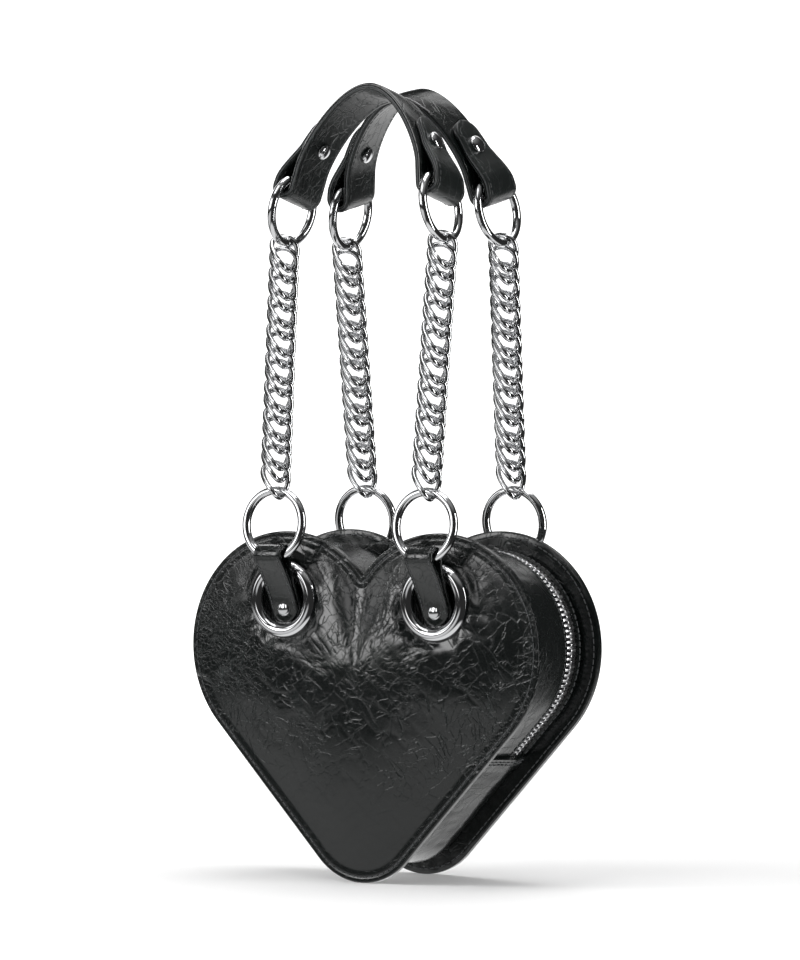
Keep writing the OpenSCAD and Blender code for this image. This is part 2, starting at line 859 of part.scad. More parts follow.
module handle_layer(off0, off1) {
    end_z = bezier(tongue_end_share).y;
    tongue_top = end_z + strap_outer_t - tongue_end_r;
    difference() {
        union() {
            strap_slab()
                band_2d(off0, off1);
            for (side = [-1, 1])
                intersection() {
                    mirror([side < 0 ? 1 : 0, 0, 0])
                        strap_slab()
                            tongue_2d(off0, off1);
                    rotate([90, 0, 90])
                        translate([0, 0, -panel_w / 2])
                            linear_extrude(panel_w)
                                union() {
                                    polygon([
                                        [-strap_w / 2, -over], [strap_w / 2, -over],
                                        [strap_w / 2, fold_z + fold_r],
                                        [tongue_end_r, tongue_top], [-tongue_end_r, tongue_top],
                                        [-strap_w / 2, fold_z + fold_r]]);
                                    translate([0, tongue_top])
                                        circle(tongue_end_r);
                                }
                }
        }
        for (side = [-1, 1])
            at_handle_stud(side)
                rotate([0, 90, 0])
                    translate([0, 0, -strap_t - over])
                        cylinder(r = handle_shank_r + lap_gap, h = 3 * strap_t + 2 * over);
    }
}

module handle_outer() { color(leather) handle_frame() handle_layer(0, strap_outer_t); }
module handle_inner() { color(inner_leather) handle_frame() handle_layer(-strap_inner_t, 0); }

module front_handle_outer() { handle_outer(); }
module back_handle_outer() { turned(true) handle_outer(); }
module front_handle_inner() { handle_inner(); }
module back_handle_inner() { turned(true) handle_inner(); }

// A handle stud: an inner and an outer head on one shank
module handle_stud_pair() {
    outer_x = tongue_shift + strap_inner_t + lap_gap;
    color(chrome)
        handle_frame()
            for (side = [-1, 1])
                at_handle_stud(side)
                    rotate([0, 90, 0]) {
                        translate([0, 0, -strap_inner_t - lap_gap])
                            cylinder(r = handle_shank_r, h = outer_x + strap_inner_t + lap_gap);
                        translate([0, 0, outer_x])
                            cylinder(r1 = handle_stud_r, r2 = handle_stud_r - head_h / 2, h = head_h);
                        translate([0, 0, -strap_inner_t - lap_gap - head_h])
                            cylinder(r1 = inner_head_r - head_h / 2, r2 = inner_head_r, h = head_h);
                    }
}

module front_handle_studs() { handle_stud_pair(); }
module back_handle_studs() { turned(true) handle_stud_pair(); }

front_panel();
front_padding();
front_panel_facing();
back_panel();
back_padding();
back_panel_facing();
gusset_base();
gusset_front_strip();
gusset_back_strip();
zip_tape_front();
zip_tape_back();
zip_teeth_front();
zip_teeth_back();
zip_end_stops();
zip_slider();
zip_pull();
lining();
front_grommets();
front_grommet_washers();
back_grommets();
back_grommet_washers();
front_tabs();
front_tab_studs();
front_anchor_plates();
back_tabs();
back_tab_studs();
back_anchor_plates();
front_o_rings();
front_left_chain();
front_right_chain();
front_handle_rings();
back_o_rings();
back_left_chain();
back_right_chain();
back_handle_rings();
front_handle_outer();
front_handle_inner();
front_handle_studs();
back_handle_outer();
back_handle_inner();
back_handle_studs();
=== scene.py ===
"""Looks of the heart shaped handbag: smooth leather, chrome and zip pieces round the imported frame."""

import math

import bmesh
import bpy
import numpy as np
from mathutils import Matrix, Vector, noise


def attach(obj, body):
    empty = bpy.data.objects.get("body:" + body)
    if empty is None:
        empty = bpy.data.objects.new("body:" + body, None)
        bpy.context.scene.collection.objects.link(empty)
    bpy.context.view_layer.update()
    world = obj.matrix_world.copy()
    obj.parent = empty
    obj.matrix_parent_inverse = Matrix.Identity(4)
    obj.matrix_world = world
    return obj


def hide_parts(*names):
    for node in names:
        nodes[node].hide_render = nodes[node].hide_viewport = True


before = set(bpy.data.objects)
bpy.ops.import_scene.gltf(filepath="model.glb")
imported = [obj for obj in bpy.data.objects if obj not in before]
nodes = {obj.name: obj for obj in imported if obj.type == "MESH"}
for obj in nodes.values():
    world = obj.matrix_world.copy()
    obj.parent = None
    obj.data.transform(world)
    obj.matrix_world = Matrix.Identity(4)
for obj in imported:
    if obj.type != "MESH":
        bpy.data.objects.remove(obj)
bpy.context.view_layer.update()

MM = 0.001

# Sizes in millimetres, as in the part's source
PANEL_W, PANEL_H, LOBE_X, TIP_R = 200.0, 169.0, 44.0, 34.0
BAG_D, FACING_T, RIM_T, RIM_W = 58.5, 1.3, 1.95, 6.0
GUSSET_INSET, GUSSET_T = 9.5, 1.6
ZIP_Y, ZIP_WINDOW, ZIP_STRAIGHT, ZIP_TOP_A = 16.7, 10.6, 34.5, 124.0
TOOTH_PITCH = 2.6
GROMMET_X, GROMMET_Z, GROMMET_R, GROMMET_HOLE_R = 43.5, 136.0, 19.0, 12.0
TAB_W, TAB_T, TAB_STUD_R = 15.5, 2.0, 3.7
RING_OUT_R, RING_WIRE_R = 18.35, 2.1
CHAIN_LINKS, LINK_PITCH, LINK_B, LINK_WIRE_R = 17, 6.84, 9.0, 1.1
CHAIN_TURN = 58.0
CURB_A, CURB_B, CURB_C, CURB_TILT, CURB_WIRE_R, CURB_SHIFT = 6.2, 8.6, 3.0, 3.8, 1.35, 0.6
UPPER_RING_X, UPPER_RING_Y, UPPER_RING_TILT = 43.0, 25.5, 10.0
STRAP_W, STRAP_OUTER_T, STRAP_INNER_T, ARCH_H = 24.5, 2.0, 1.4, 57.5
HANDLE_STUD_R = 4.6

# Derived as in the part's source
LOBE_R = PANEL_W / 2 - LOBE_X
LOBE_Z = PANEL_H - LOBE_R
AXIS_LEN = math.hypot(LOBE_X, LOBE_Z - TIP_R)
SIDE_A = math.degrees(math.atan2(LOBE_X, LOBE_Z - TIP_R) + math.asin((LOBE_R - TIP_R) / AXIS_LEN))
NOTCH_Z = LOBE_Z + math.sqrt(LOBE_R**2 - LOBE_X**2)
NOTCH_A = math.degrees(math.atan2(NOTCH_Z - LOBE_Z, -LOBE_X))
FACING_IN_D = BAG_D / 2 - RIM_T - FACING_T
FACING_OUT_D = BAG_D / 2 - RIM_T
RIM_D = BAG_D / 2
HEART_MID_Z = PANEL_H * 0.55
SEAT_D = RIM_D + 2.6
DOME_R = (GROMMET_R - GROMMET_HOLE_R) / 2
RING_R = RING_OUT_R - RING_WIRE_R
RING_IN_R = RING_R - RING_WIRE_R
TAB_SAG = RING_R - math.sqrt(RING_R**2 - TAB_W**2 / 4)
LOOP_IN_R = RING_WIRE_R + TAB_SAG / 2 + 0.3
LOOP_OUT_R = LOOP_IN_R + TAB_T
TAB_CREST_D = SEAT_D + DOME_R + 0.9
LOOP_D = TAB_CREST_D + LOOP_OUT_R
LOOP_Z = GROMMET_Z + GROMMET_R + 2.5
TAB_TONGUE_Z = GROMMET_Z - GROMMET_HOLE_R + TAB_W / 2 + 0.6
TAB_STUD_Z = TAB_TONGUE_Z - 1
TAB_BEND_Z = GROMMET_Z - 0.2 * (GROMMET_HOLE_R - TAB_SAG)
TAB_CREST_Z = GROMMET_Z + math.sqrt((GROMMET_HOLE_R + DOME_R) ** 2 - TAB_W**2 / 4)
O_RING_MID = RING_R - TAB_SAG / 2
CHAIN_FOOT = O_RING_MID + RING_R
LINK_END = RING_WIRE_R + LINK_WIRE_R + 0.15
CHAIN_LEN = 2 * LINK_B + (CHAIN_LINKS - 1) * LINK_PITCH - 2 * LINK_END
CHAIN_HEAD = CHAIN_FOOT + CHAIN_LEN
UPPER_MID = CHAIN_HEAD + RING_R * math.cos(math.radians(UPPER_RING_TILT))
CHAIN_HEAD_X = UPPER_RING_X + RING_R * math.sin(math.radians(UPPER_RING_TILT))
CHAIN_LEAN_X = math.degrees(math.atan2(CHAIN_HEAD_X - GROMMET_X, CHAIN_LEN))
CHAIN_LEAN = math.degrees(math.asin((LOOP_D - UPPER_RING_Y) / UPPER_MID))
SLOT_HALF = RING_WIRE_R + 0.95
FOLD_Z = math.sqrt(RING_IN_R**2 - STRAP_W**2 / 4) - 0.5 + SLOT_HALF
FOLD_R = SLOT_HALF + STRAP_OUTER_T
LEG_TOP = RING_OUT_R + 1.7
ARCH_TOP = ARCH_H + STRAP_OUTER_T
HANDLE_LEAN = math.degrees(
    math.asin((UPPER_RING_Y - 0.4) / math.hypot(ARCH_TOP, STRAP_W / 2)) - math.atan2(STRAP_W / 2, ARCH_TOP)
)
TONGUE_SHIFT = 2 * STRAP_OUTER_T + 0.15
TONGUE_END_R = 8.5
GUSSET_R = LOBE_R - GUSSET_INSET
TAPE_OUT_R = GUSSET_R - GUSSET_T - 0.1
TAPE_T = 0.6
TOOTH_MID_R = TAPE_OUT_R - TAPE_T / 2


# Socket arithmetic for shader trees

class Sock:
    """A shader output that can be added, multiplied and so on."""

    def __init__(self, tree, out):
        self.tree, self.out = tree, out

    def math(self, kind, other=0.0, third=None):
        values = {0: self, 1: other}
        if third is not None:
            values[2] = third
        return self.tree.node("ShaderNodeMath", values, operation=kind)

    def __add__(self, other):
        return self.math("ADD", other)

    def __sub__(self, other):
        return self.math("SUBTRACT", other)

    def __mul__(self, other):
        return self.math("MULTIPLY", other)

    __radd__, __rmul__ = __add__, __mul__

    def ramp(self, low, high, out_low=0.0, out_high=1.0):
        return self.tree.node(
            "ShaderNodeMapRange",
            {"Value": self, "From Min": low, "From Max": high, "To Min": out_low, "To Max": out_high},
            interpolation_type="SMOOTHSTEP",
        )


class Tree:
    """A material or world tree under construction."""

    def __init__(self, owner):
        owner.use_nodes = True
        self.owner, self.nodes, self.links = owner, owner.node_tree.nodes, owner.node_tree.links
        self.nodes.clear()

    def node(self, kind, inputs=None, output=0, **settings):
        made = self.nodes.new(kind)
        for key, value in settings.items():
            setattr(made, key, value)
        for key, value in (inputs or {}).items():
            if isinstance(value, Sock):
                self.links.new(value.out, made.inputs[key])
            else:
                made.inputs[key].default_value = value
        return Sock(self, made.outputs[output])

    def place(self):
        return self.node("ShaderNodeTexCoord", output="Object")

    def noise(self, where, scale, detail=3.0, output="Fac"):
        inputs = {"Vector": where, "Scale": scale, "Detail": detail}
        return self.node("ShaderNodeTexNoise", inputs, output)

    def warped(self, where, scale, reach):
        """The place moved about by a noise of that scale, by up to about half the reach in metres."""
        shift = self.node(
            "ShaderNodeVectorMath",
            {0: self.noise(where, scale, 2.0, "Color"), 1: (0.5, 0.5, 0.5)},
            operation="SUBTRACT",
        )
        scaled = self.node("ShaderNodeVectorMath", {0: shift, "Scale": reach}, operation="SCALE")
        return self.node("ShaderNodeVectorMath", {0: where, 1: scaled}, operation="ADD")

    def cracks(self, where, scale, width):
        """One on the edges of irregular cells of that scale, nought away from them."""
        inputs = {"Vector": where, "Scale": scale}
        edge = self.node("ShaderNodeTexVoronoi", inputs, "Distance", feature="DISTANCE_TO_EDGE")
        return edge.ramp(0.0, width, 1.0, 0.0)

    def stretched(self, where, turn, scale):
        turned = self.node("ShaderNodeMapping", {"Vector": where, "Rotation": turn})
        return self.node("ShaderNodeMapping", {"Vector": turned, "Scale": scale})

    def surface(self, height=None, depth=0.0004, **inputs):
        """Ends the tree in a Principled shader, bumped by a height."""
        values = {key.replace("_", " "): value for key, value in inputs.items()}
        if height is not None:
            values["Normal"] = self.node("ShaderNodeBump", {"Height": height, "Distance": depth})
        shader = self.node("ShaderNodeBsdfPrincipled", values)
        out = self.nodes.new("ShaderNodeOutputMaterial")
        self.links.new(shader.out, out.inputs["Surface"])
        return self.owner

    def mix(self, amount, low, high):
        made = self.nodes.new("ShaderNodeMix")
        made.data_type = "RGBA"
        self.links.new(amount.out, made.inputs["Factor"])
        made.inputs[6].default_value, made.inputs[7].default_value = low, high
        return Sock(self, made.outputs[2])


def material(name):
    return Tree(bpy.data.materials.new(name))


def patent_leather(name, amount, band=None, rough=0.2, black=0.005, wave=0.3, lean=0.0):
    """Crinkled patent leather, bumped in millimetres. A band gives the heights, in metres, between
    which the creases set in and between which they fade out again."""
    tree = material(name)
    here = tree.place()
    bent = tree.warped(here, 32.0, 0.014)
    finer = tree.warped(bent, 150.0, 0.004)
    broken = tree.noise(here, 85.0, 2.0)
    falling = tree.stretched(bent, (0.0, 0.7 + lean, 0.2), (1.0, 1.0, 0.27))
    rising = tree.stretched(finer, (0.3, -0.85 + lean, 0.0), (1.0, 1.0, 0.33))
    long = tree.cracks(falling, 125.0, 0.03) * broken.ramp(0.46, 0.54)
    cross = tree.cracks(rising, 150.0, 0.038) * broken.ramp(0.54, 0.46)
    net = tree.cracks(finer, 210.0, 0.048) * tree.noise(here, 52.0).ramp(0.46, 0.56)
    fine = tree.cracks(finer, 400.0, 0.08) * tree.noise(here, 24.0).ramp(0.5, 0.62)
    creases = long + cross * 0.85 + net * 0.6 + fine * 0.15
    creases = creases * tree.noise(here, 13.0, 2.0).ramp(0.34, 0.56, 0.25, 1.0)
    dimples = tree.noise(finer, 95.0, 3.0)
    if band:
        height = tree.node("ShaderNodeSeparateXYZ", {0: here}, "Z")
        within = height.ramp(band[0], band[1], 0.07, 1.0) * height.ramp(band[2], band[3], 1.0, 0.35)
        creases = creases * within
        dimples = dimples * within
    creases = creases * amount
    swell = tree.noise(bent, 30.0, 1.0) * wave
    # The leather's own greenish black, painted lighter along the crease lines: a painted sheen on the
    # creases
    crease_sheen_colour = tree.mix(
        creases.math("MINIMUM", 1.0),
        (black * 0.8, black * 1.05, black, 1.0),
        (black * 1.7, black * 2.4, black * 2.3, 1.0),
    )
    return tree.surface(
        height=swell + dimples * (0.02 * amount) - creases * 0.28,
        depth=0.001,
        Base_Color=crease_sheen_colour,
        Roughness=(creases * 0.16 + rough).math("MINIMUM", 0.6),
        Coat_Weight=0.16,
        Coat_Roughness=0.08,
        Specular_IOR_Level=0.5,
    )


def metal(name, colour, rough, grain=0.0):
    tree = material(name)
    inputs = {"Base_Color": colour, "Metallic": 1.0}
    here = tree.place()
    inputs["Roughness"] = tree.noise(here, 240.0).ramp(0.3, 0.7, rough * 0.7, rough * 1.3)
    if grain:
        return tree.surface(height=tree.noise(here, 900.0) * grain, depth=0.0002, **inputs)
    return tree.surface(**inputs)


def plain(name, colour, rough, scale=700.0, bump=0.5):
    tree = material(name)
    here = tree.place()
    return tree.surface(
        height=tree.noise(here, scale) * bump, depth=0.0003, Base_Color=colour, Roughness=rough
    )


def weave(name, colour):
    tree = material(name)
    here = tree.place()
    across = tree.node("ShaderNodeTexWave", {"Vector": here, "Scale": 420.0}, "Fac", bands_direction="Z")
    along = tree.node("ShaderNodeTexWave", {"Vector": here, "Scale": 420.0}, "Fac", bands_direction="Y")
    return tree.surface(height=across * along, depth=0.0003, Base_Color=colour, Roughness=0.8)


FACE = patent_leather(
    "patent_face", 1.0, band=(0.03, 0.085, 0.12, 0.15), rough=0.15, black=0.004, wave=0.13
)
SIDE = patent_leather("patent_side", 0.3, rough=0.27, wave=0.35)
BACKING = patent_leather("patent_backing", 0.5, rough=0.22, wave=0.2, lean=0.5)
STRAP = patent_leather("patent_strap", 0.25, rough=0.14, wave=0.1)
STRAP_LINING = patent_leather("strap_lining", 0.9, rough=0.3, black=0.008, wave=0.15, lean=0.8)
EDGE = plain("cut_edge", (0.055, 0.058, 0.06, 1.0), 0.5)
THREAD = plain("thread", (0.055, 0.058, 0.06, 1.0), 0.4, 2500.0)
CHROME = metal("polished_chrome", (0.66, 0.665, 0.675, 1.0), 0.07)
ZIP_METAL = metal("zip_metal", (0.8, 0.8, 0.81, 1.0), 0.32, 0.4)
STEEL = metal("plated_steel", (0.5, 0.5, 0.51, 1.0), 0.35)
CLOTH = weave("black_cloth", (0.012, 0.012, 0.013, 1.0))


# Meshes

def placed(verts, matrix):
    return verts @ np.array(matrix.to_3x3()).T + np.array(matrix.translation)


def axes(x_axis, y_axis, z_axis, place):
    """A matrix from three directions and a place."""
    made = Matrix((x_axis, y_axis, z_axis)).transposed().to_4x4()
    made.translation = place
    return made


def quads(rows, columns, loop_rows=False, loop_columns=True, flipped=False):
    """Faces between rows of points, numbered row by row."""
    faces = []
    for i in range(rows if loop_rows else rows - 1):
        for j in range(columns if loop_columns else columns - 1):
            here, beside = i * columns + j, i * columns + (j + 1) % columns
            above, across = (i + 1) % rows * columns + j, (i + 1) % rows * columns + (j + 1) % columns
            faces.append([here, above, across, beside] if flipped else [here, beside, across, above])
    return faces


def caps(rows, columns):
    return [list(range(columns))[::-1], [(rows - 1) * columns + j for j in range(columns)]]


def signed_area(profile):
    """Twice the area of an outline, above nought when it runs anticlockwise."""
    k = len(profile)
    return sum(
        profile[j][0] * profile[(j + 1) % k][1] - profile[(j + 1) % k][0] * profile[j][1] for j in range(k)
    )


def lengths_along(points):
    return np.r_[0, np.cumsum(np.linalg.norm(np.diff(points, axis=0), axis=1))]


class Shape:
    """Vertices and faces gathered from several closed solids, in millimetres."""

    def __init__(self):
        self.verts, self.faces, self.mats, self.count = [], [], [], 0

    def add(self, verts, faces, mat=0):
        verts = np.asarray(verts, float).reshape(-1, 3)
        self.verts.append(verts)
        self.faces += [[i + self.count for i in face] for face in faces]
        self.mats += [mat] * len(faces)
        self.count += len(verts)
        return self

    def moved(self, matrix):
        self.verts = [placed(v, matrix) for v in self.verts]
        return self

    def turned_round(self, back):
        if back:
            self.verts = [v * (-1, -1, 1) for v in self.verts]
        return self

    def build(self, name, *mats, crease=38.0):
        mesh = bpy.data.meshes.new(name)
        mesh.from_pydata((np.vstack(self.verts) * MM).tolist(), [], self.faces)
        mesh.polygons.foreach_set("material_index", np.array(self.mats, np.int32))
        for mat in mats:
            mesh.materials.append(mat)
        mesh.polygons.foreach_set("use_smooth", np.ones(len(mesh.polygons), bool))
        mesh.validate()
        mesh.update()
        mesh.set_sharp_from_angle(angle=math.radians(crease))
        made = bpy.data.objects.new(name, mesh)
        bpy.context.scene.collection.objects.link(made)
        return made


def sweep(origins, across, up, profile, closed=False, widths=None):
    """Sweeps a closed outline of (across, up) points along frames. Its order is anticlockwise
    seen against the direction of travel, so the faces look outwards."""
    origins, across, up = (np.asarray(a, float) for a in (origins, across, up))
    profile = np.asarray(profile, float)
    n, k = len(origins), len(profile)
    widths = np.ones(n) if widths is None else np.asarray(widths)
    verts = (
        origins[:, None]
        + across[:, None] * (profile[None, :, 0:1] * widths[:, None, None])
        + up[:, None] * profile[None, :, 1:2]
    ).reshape(-1, 3)
    faces = quads(n, k, loop_rows=closed)
    if not closed:
        faces += caps(n, k)
    travel = np.roll(origins, -1, 0)[0] - origins[0]
    if np.dot(np.cross(across[0], up[0]), travel) * signed_area(profile) < 0:
        faces = [face[::-1] for face in faces]
    return verts, faces


def circle_profile(radius, sides, centre=(0.0, 0.0)):
    a = np.linspace(0, 2 * math.pi, sides, endpoint=False)
    return np.c_[centre[0] + radius * np.cos(a), centre[1] + radius * np.sin(a)]


def rounded_bar(width, low, high, radius, steps=4, across=1):
    """A rectangle from -width/2 to width/2 and low to high, with round corners."""
    points = []
    w = width / 2 - radius
    top, foot = high - radius, low + radius
    for cx, cy, start in ((w, top, 0), (-w, top, 90), (-w, foot, 180), (w, foot, 270)):
        for i in range(steps + 1):
            a = math.radians(start + 90 * i / steps)
            points.append((cx + radius * math.cos(a), cy + radius * math.sin(a)))
        if start in (0, 180):
            for i in range(1, across):
                t = i / across
                points.append(((1 - 2 * t) * cx, cy + (radius if start == 0 else -radius)))
    return points


def spin(shape, profile, matrix, sides=96, mat=0):
    """Adds a ring spun from a closed outline of (radius, height) points about the matrix's Z axis."""
    profile = np.asarray(profile, float)
    a = np.linspace(0, 2 * math.pi, sides, endpoint=False)
    verts = np.array([(r * math.cos(t), r * math.sin(t), h) for t in a for r, h in profile])
    faces = quads(sides, len(profile), loop_rows=True, flipped=True)
    if signed_area(profile) < 0:
        faces = [face[::-1] for face in faces]
    shape.add(placed(verts, matrix), faces, mat)


def spin_solid(shape, outline, matrix, sides=64, mat=0):
    """Adds a solid of revolution from an open outline of (radius, height) points, whose first
    and last points are closed by a point on the axis."""
    a = np.linspace(0, 2 * math.pi, sides, endpoint=False)
    k = len(outline)
    verts = [(r * math.cos(t), r * math.sin(t), h) for t in a for r, h in outline]
    faces = quads(sides, k, loop_rows=True, loop_columns=False, flipped=True)
    low, high = len(verts), len(verts) + 1
    verts += [(0, 0, outline[0][1]), (0, 0, outline[-1][1])]
    for i in range(sides):
        j = (i + 1) % sides
        faces.append([low, j * k, i * k])
        faces.append([high, i * k + k - 1, j * k + k - 1])
    if outline[0][1] > outline[-1][1]:
        faces = [face[::-1] for face in faces]
    shape.add(placed(np.array(verts), matrix), faces, mat)


def at(x, y, z, *turns):
    """A matrix from a place and turns such as ("X", degrees), applied last to first."""
    made = Matrix.Translation((x, y, z))
    for axis, angle in turns:
        made = made @ Matrix.Rotation(math.radians(angle), 4, axis)
    return made


HALF_TURN = Matrix.Rotation(math.pi, 4, "Z")
OUTWARDS = ("X", 90)
SIDES = ((False, "front"), (True, "back"))


def side_matrix(back):
    return HALF_TURN if back else Matrix.Identity(4)


def named(back, rest):
    return ("back_" if back else "front_") + rest


# Geometry Nodes: one piece repeated on points that carry a turn

def repeat_tree():
    tree = bpy.data.node_groups.new("repeat_on_points", "GeometryNodeTree")
    face = tree.interface
    face.new_socket("Geometry", in_out="INPUT", socket_type="NodeSocketGeometry")
    face.new_socket("Piece", in_out="INPUT", socket_type="NodeSocketObject")
    face.new_socket("Size", in_out="INPUT", socket_type="NodeSocketFloat")
    face.new_socket("Material", in_out="INPUT", socket_type="NodeSocketMaterial")
    face.new_socket("Geometry", in_out="OUTPUT", socket_type="NodeSocketGeometry")
    new, link = tree.nodes.new, tree.links.new
    start, end = new("NodeGroupInput"), new("NodeGroupOutput")
    piece, turn = new("GeometryNodeObjectInfo"), new("GeometryNodeInputNamedAttribute")
    turn.data_type = "FLOAT_VECTOR"
    turn.inputs["Name"].default_value = "turn"
    euler, put = new("FunctionNodeEulerToRotation"), new("GeometryNodeInstanceOnPoints")
    real, paint = new("GeometryNodeRealizeInstances"), new("GeometryNodeSetMaterial")
    link(start.outputs["Piece"], piece.inputs["Object"])
    link(start.outputs["Geometry"], put.inputs["Points"])
    link(piece.outputs["Geometry"], put.inputs["Instance"])
    link(turn.outputs["Attribute"], euler.inputs["Euler"])
    link(euler.outputs["Rotation"], put.inputs["Rotation"])
    link(start.outputs["Size"], put.inputs["Scale"])
    link(put.outputs["Instances"], real.inputs["Geometry"])
    link(real.outputs["Geometry"], paint.inputs["Geometry"])
    link(start.outputs["Material"], paint.inputs["Material"])
    link(paint.outputs["Geometry"], end.inputs["Geometry"])
    return tree


REPEAT = repeat_tree()


def repeated(name, piece, spots, mat, size=1.0):
    """One mesh of a piece put at each spot, a matrix in millimetres."""
    mesh = bpy.data.meshes.new(name)
    mesh.from_pydata([tuple(m.translation * MM) for m in spots], [], [])
    turn = mesh.attributes.new("turn", "FLOAT_VECTOR", "POINT")
    turn.data.foreach_set("vector", np.array([m.to_euler() for m in spots], np.float32).ravel())
    host = bpy.data.objects.new(name, mesh)
    bpy.context.scene.collection.objects.link(host)
    modifier = host.modifiers.new("repeat", "NODES")
    modifier.node_group = REPEAT
    values = {"Piece": piece, "Size": size, "Material": mat}
    for item in REPEAT.interface.items_tree:
        if item.in_out == "INPUT" and item.name in values:
            modifier[item.identifier] = values[item.name]
    bpy.context.view_layer.update()
    graph = bpy.context.evaluated_depsgraph_get()
    result = bpy.data.meshes.new_from_object(host.evaluated_get(graph))
    host.modifiers.remove(modifier)
    host.data = result
    host.name = name
    bpy.data.objects.remove(piece)
    return host


def settle(piece, body, slot_name, *replaced):
    if replaced:
        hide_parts(*replaced)
    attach(piece, body)
    return piece


# Heart outlines

def arc(centre, radius, start, end, count, sign=1.0):
    a = np.radians(np.linspace(start, end, count))
    out = np.c_[np.cos(a), np.sin(a)]
    return np.array(centre) + radius * out, sign * out


def half_heart(inset, counts=(9, 130, 46, 44)):
    """Points and outward normals from the notch round the right lobe to the tip."""
    side = np.radians(SIDE_A)
    normal = np.array((math.cos(side), -math.sin(side)))
    parts = [
        arc((0, NOTCH_Z), inset, -90, NOTCH_A - 180, counts[0], -1.0),
        arc((LOBE_X, LOBE_Z), LOBE_R - inset, NOTCH_A, -SIDE_A, counts[1]),
    ]
    tip = arc((0, TIP_R), TIP_R - inset, -SIDE_A, -90, counts[3])
    t = np.linspace(0, 1, counts[2])[1:-1, None]
    straight = parts[1][0][-1] * (1 - t) + tip[0][0] * t
    parts += [(straight, np.tile(normal, (len(t), 1))), tip]
    return np.vstack([p[0] for p in parts]), np.vstack([p[1] for p in parts])


def outline(inset, counts=(9, 130, 46, 44)):
    points, normals = half_heart(max(inset, 0.03), counts)
    flip = np.array((-1, 1))
    return (
        np.vstack([points, points[-2:0:-1] * flip]),
        np.vstack([normals, normals[-2:0:-1] * flip]),
    )


class Path:
    """The heart's outline as a path by length, from the notch round the right lobe."""

    def __init__(self, inset):
        points, normals = outline(inset, (30, 420, 120, 120))
        points = np.vstack([points, points[:1]])
        self.normals = np.vstack([normals, normals[:1]])
        self.points = points
        self.at = lengths_along(points)
        self.length = self.at[-1]

    def spots(self, lengths):
        s = np.mod(lengths, self.length)
        point = np.c_[[np.interp(s, self.at, self.points[:, i]) for i in (0, 1)]].T
        normal = np.c_[[np.interp(s, self.at, self.normals[:, i]) for i in (0, 1)]].T
        return point, normal / np.linalg.norm(normal, axis=1)[:, None]

    def nearest(self, x, z):
        return self.at[np.argmin(np.hypot(self.points[:, 0] - x, self.points[:, 1] - z))]

    def frames(self, lengths):
        """Origins, the Y axis and outward normals, in three dimensions."""
        point, normal = self.spots(np.asarray(lengths))
        zero = np.zeros(len(point))
        return (
            np.c_[point[:, 0], zero, point[:, 1]],
            np.tile((0.0, 1.0, 0.0), (len(point), 1)),
            np.c_[normal[:, 0], zero, normal[:, 1]],
        )

    def spot_matrix(self, length, y, off):
        """X outwards, Y as the frame's and Z along the path."""
        point, normal = self.spots(np.array([length]))
        out = Vector((normal[0][0], 0, normal[0][1]))
        y_axis = Vector((0, 1, 0))
        place = Vector((point[0][0], y, point[0][1])) + out * off
        return axes(out, y_axis, out.cross(y_axis), place)


def stitch(length=2.6, radius=0.32):
    """One stitch along Z, a rod with round ends."""
    made = Shape()
    ends = []
    for i in range(4):
        a = math.radians(90 * i / 3)
        ends.append((max(radius * math.sin(a), 0.01), -length / 2 + radius * (1 - math.cos(a))))
    spin_solid(made, ends + [(r, -h) for r, h in ends[::-1]], Matrix.Identity(4), 8)
    return made.build("stitch", THREAD)


STITCH_PITCH = 3.3


# Panels

def smooth(t):
    t = np.clip(t, 0, 1)
    return t * t * (3 - 2 * t)


def crumple(x, z, seed):
    """Dents and fold lines of the soft leather, in millimetres, as a height."""
    out = np.zeros(len(x))
    for i, (px, pz) in enumerate(zip(x, z)):
        p = Vector((px / 26.0, pz / 26.0, seed))
        bend = noise.noise(p * 1.7)
        p = p + Vector((bend, -bend, 0)) * 0.5
        swell = noise.noise(p)
        fold = 1 - abs(noise.noise(p * 1.9 + Vector((7, 3, seed))))
        fine = 1 - abs(noise.noise(p * 4.3 + Vector((2, 9, seed))))
        out[i] = 0.32 * swell - 0.13 * max(fold, 0) ** 16 - 0.06 * max(fine, 0) ** 14
    return out


def panel_height(x, z, base, seed):
    """Distance of the outer face from the middle of the bag."""
    band = smooth((z - 40) / 55)
    off_rim = smooth((base - RIM_D) / 1.5)
    d = base + crumple(x, z, seed) * (0.25 + 0.75 * band) * off_rim
    for side in (-1, 1):
        dx, dz = x - side * GROMMET_X, z - GROMMET_Z
        r = np.hypot(dx, dz)
        a = np.arctan2(dz, dx)
        pulled = 1 - smooth((r - 16.0) / 9.0)
        d = d + np.minimum(SEAT_D - d, 0) * pulled
        pucker = 0.22 * np.sin(11 * a + 2 * np.sin(3 * a + seed)) * smooth((31 - r) / 11)
        d = d + pucker * smooth((r - 19) / 2) * off_rim
        lift = 1 - smooth((r - 18.6) / 6.5)
        d = d + np.maximum(SEAT_D - d, 0) * lift
        sink = smooth((r - 13.2) / 3.4)
        floor = FACING_OUT_D + 0.06
        d = np.where(r < 16.6, floor + (d - floor) * sink, d)
    return d


def rings_to_solid(rings):
    """A closed solid from rings of points, each ring in one order, closed at both ends by a point."""
    n = len(rings[0])
    verts = np.vstack(rings + [rings[0].mean(0)[None], rings[-1].mean(0)[None]])
    faces = quads(len(rings), n)
    first, last = len(rings) * n, len(rings) * n + 1
    base = (len(rings) - 1) * n
    for i in range(n):
        j = (i + 1) % n
        faces.append([first, j, i])
        faces.append([last, base + i, base + j])
    return verts, faces


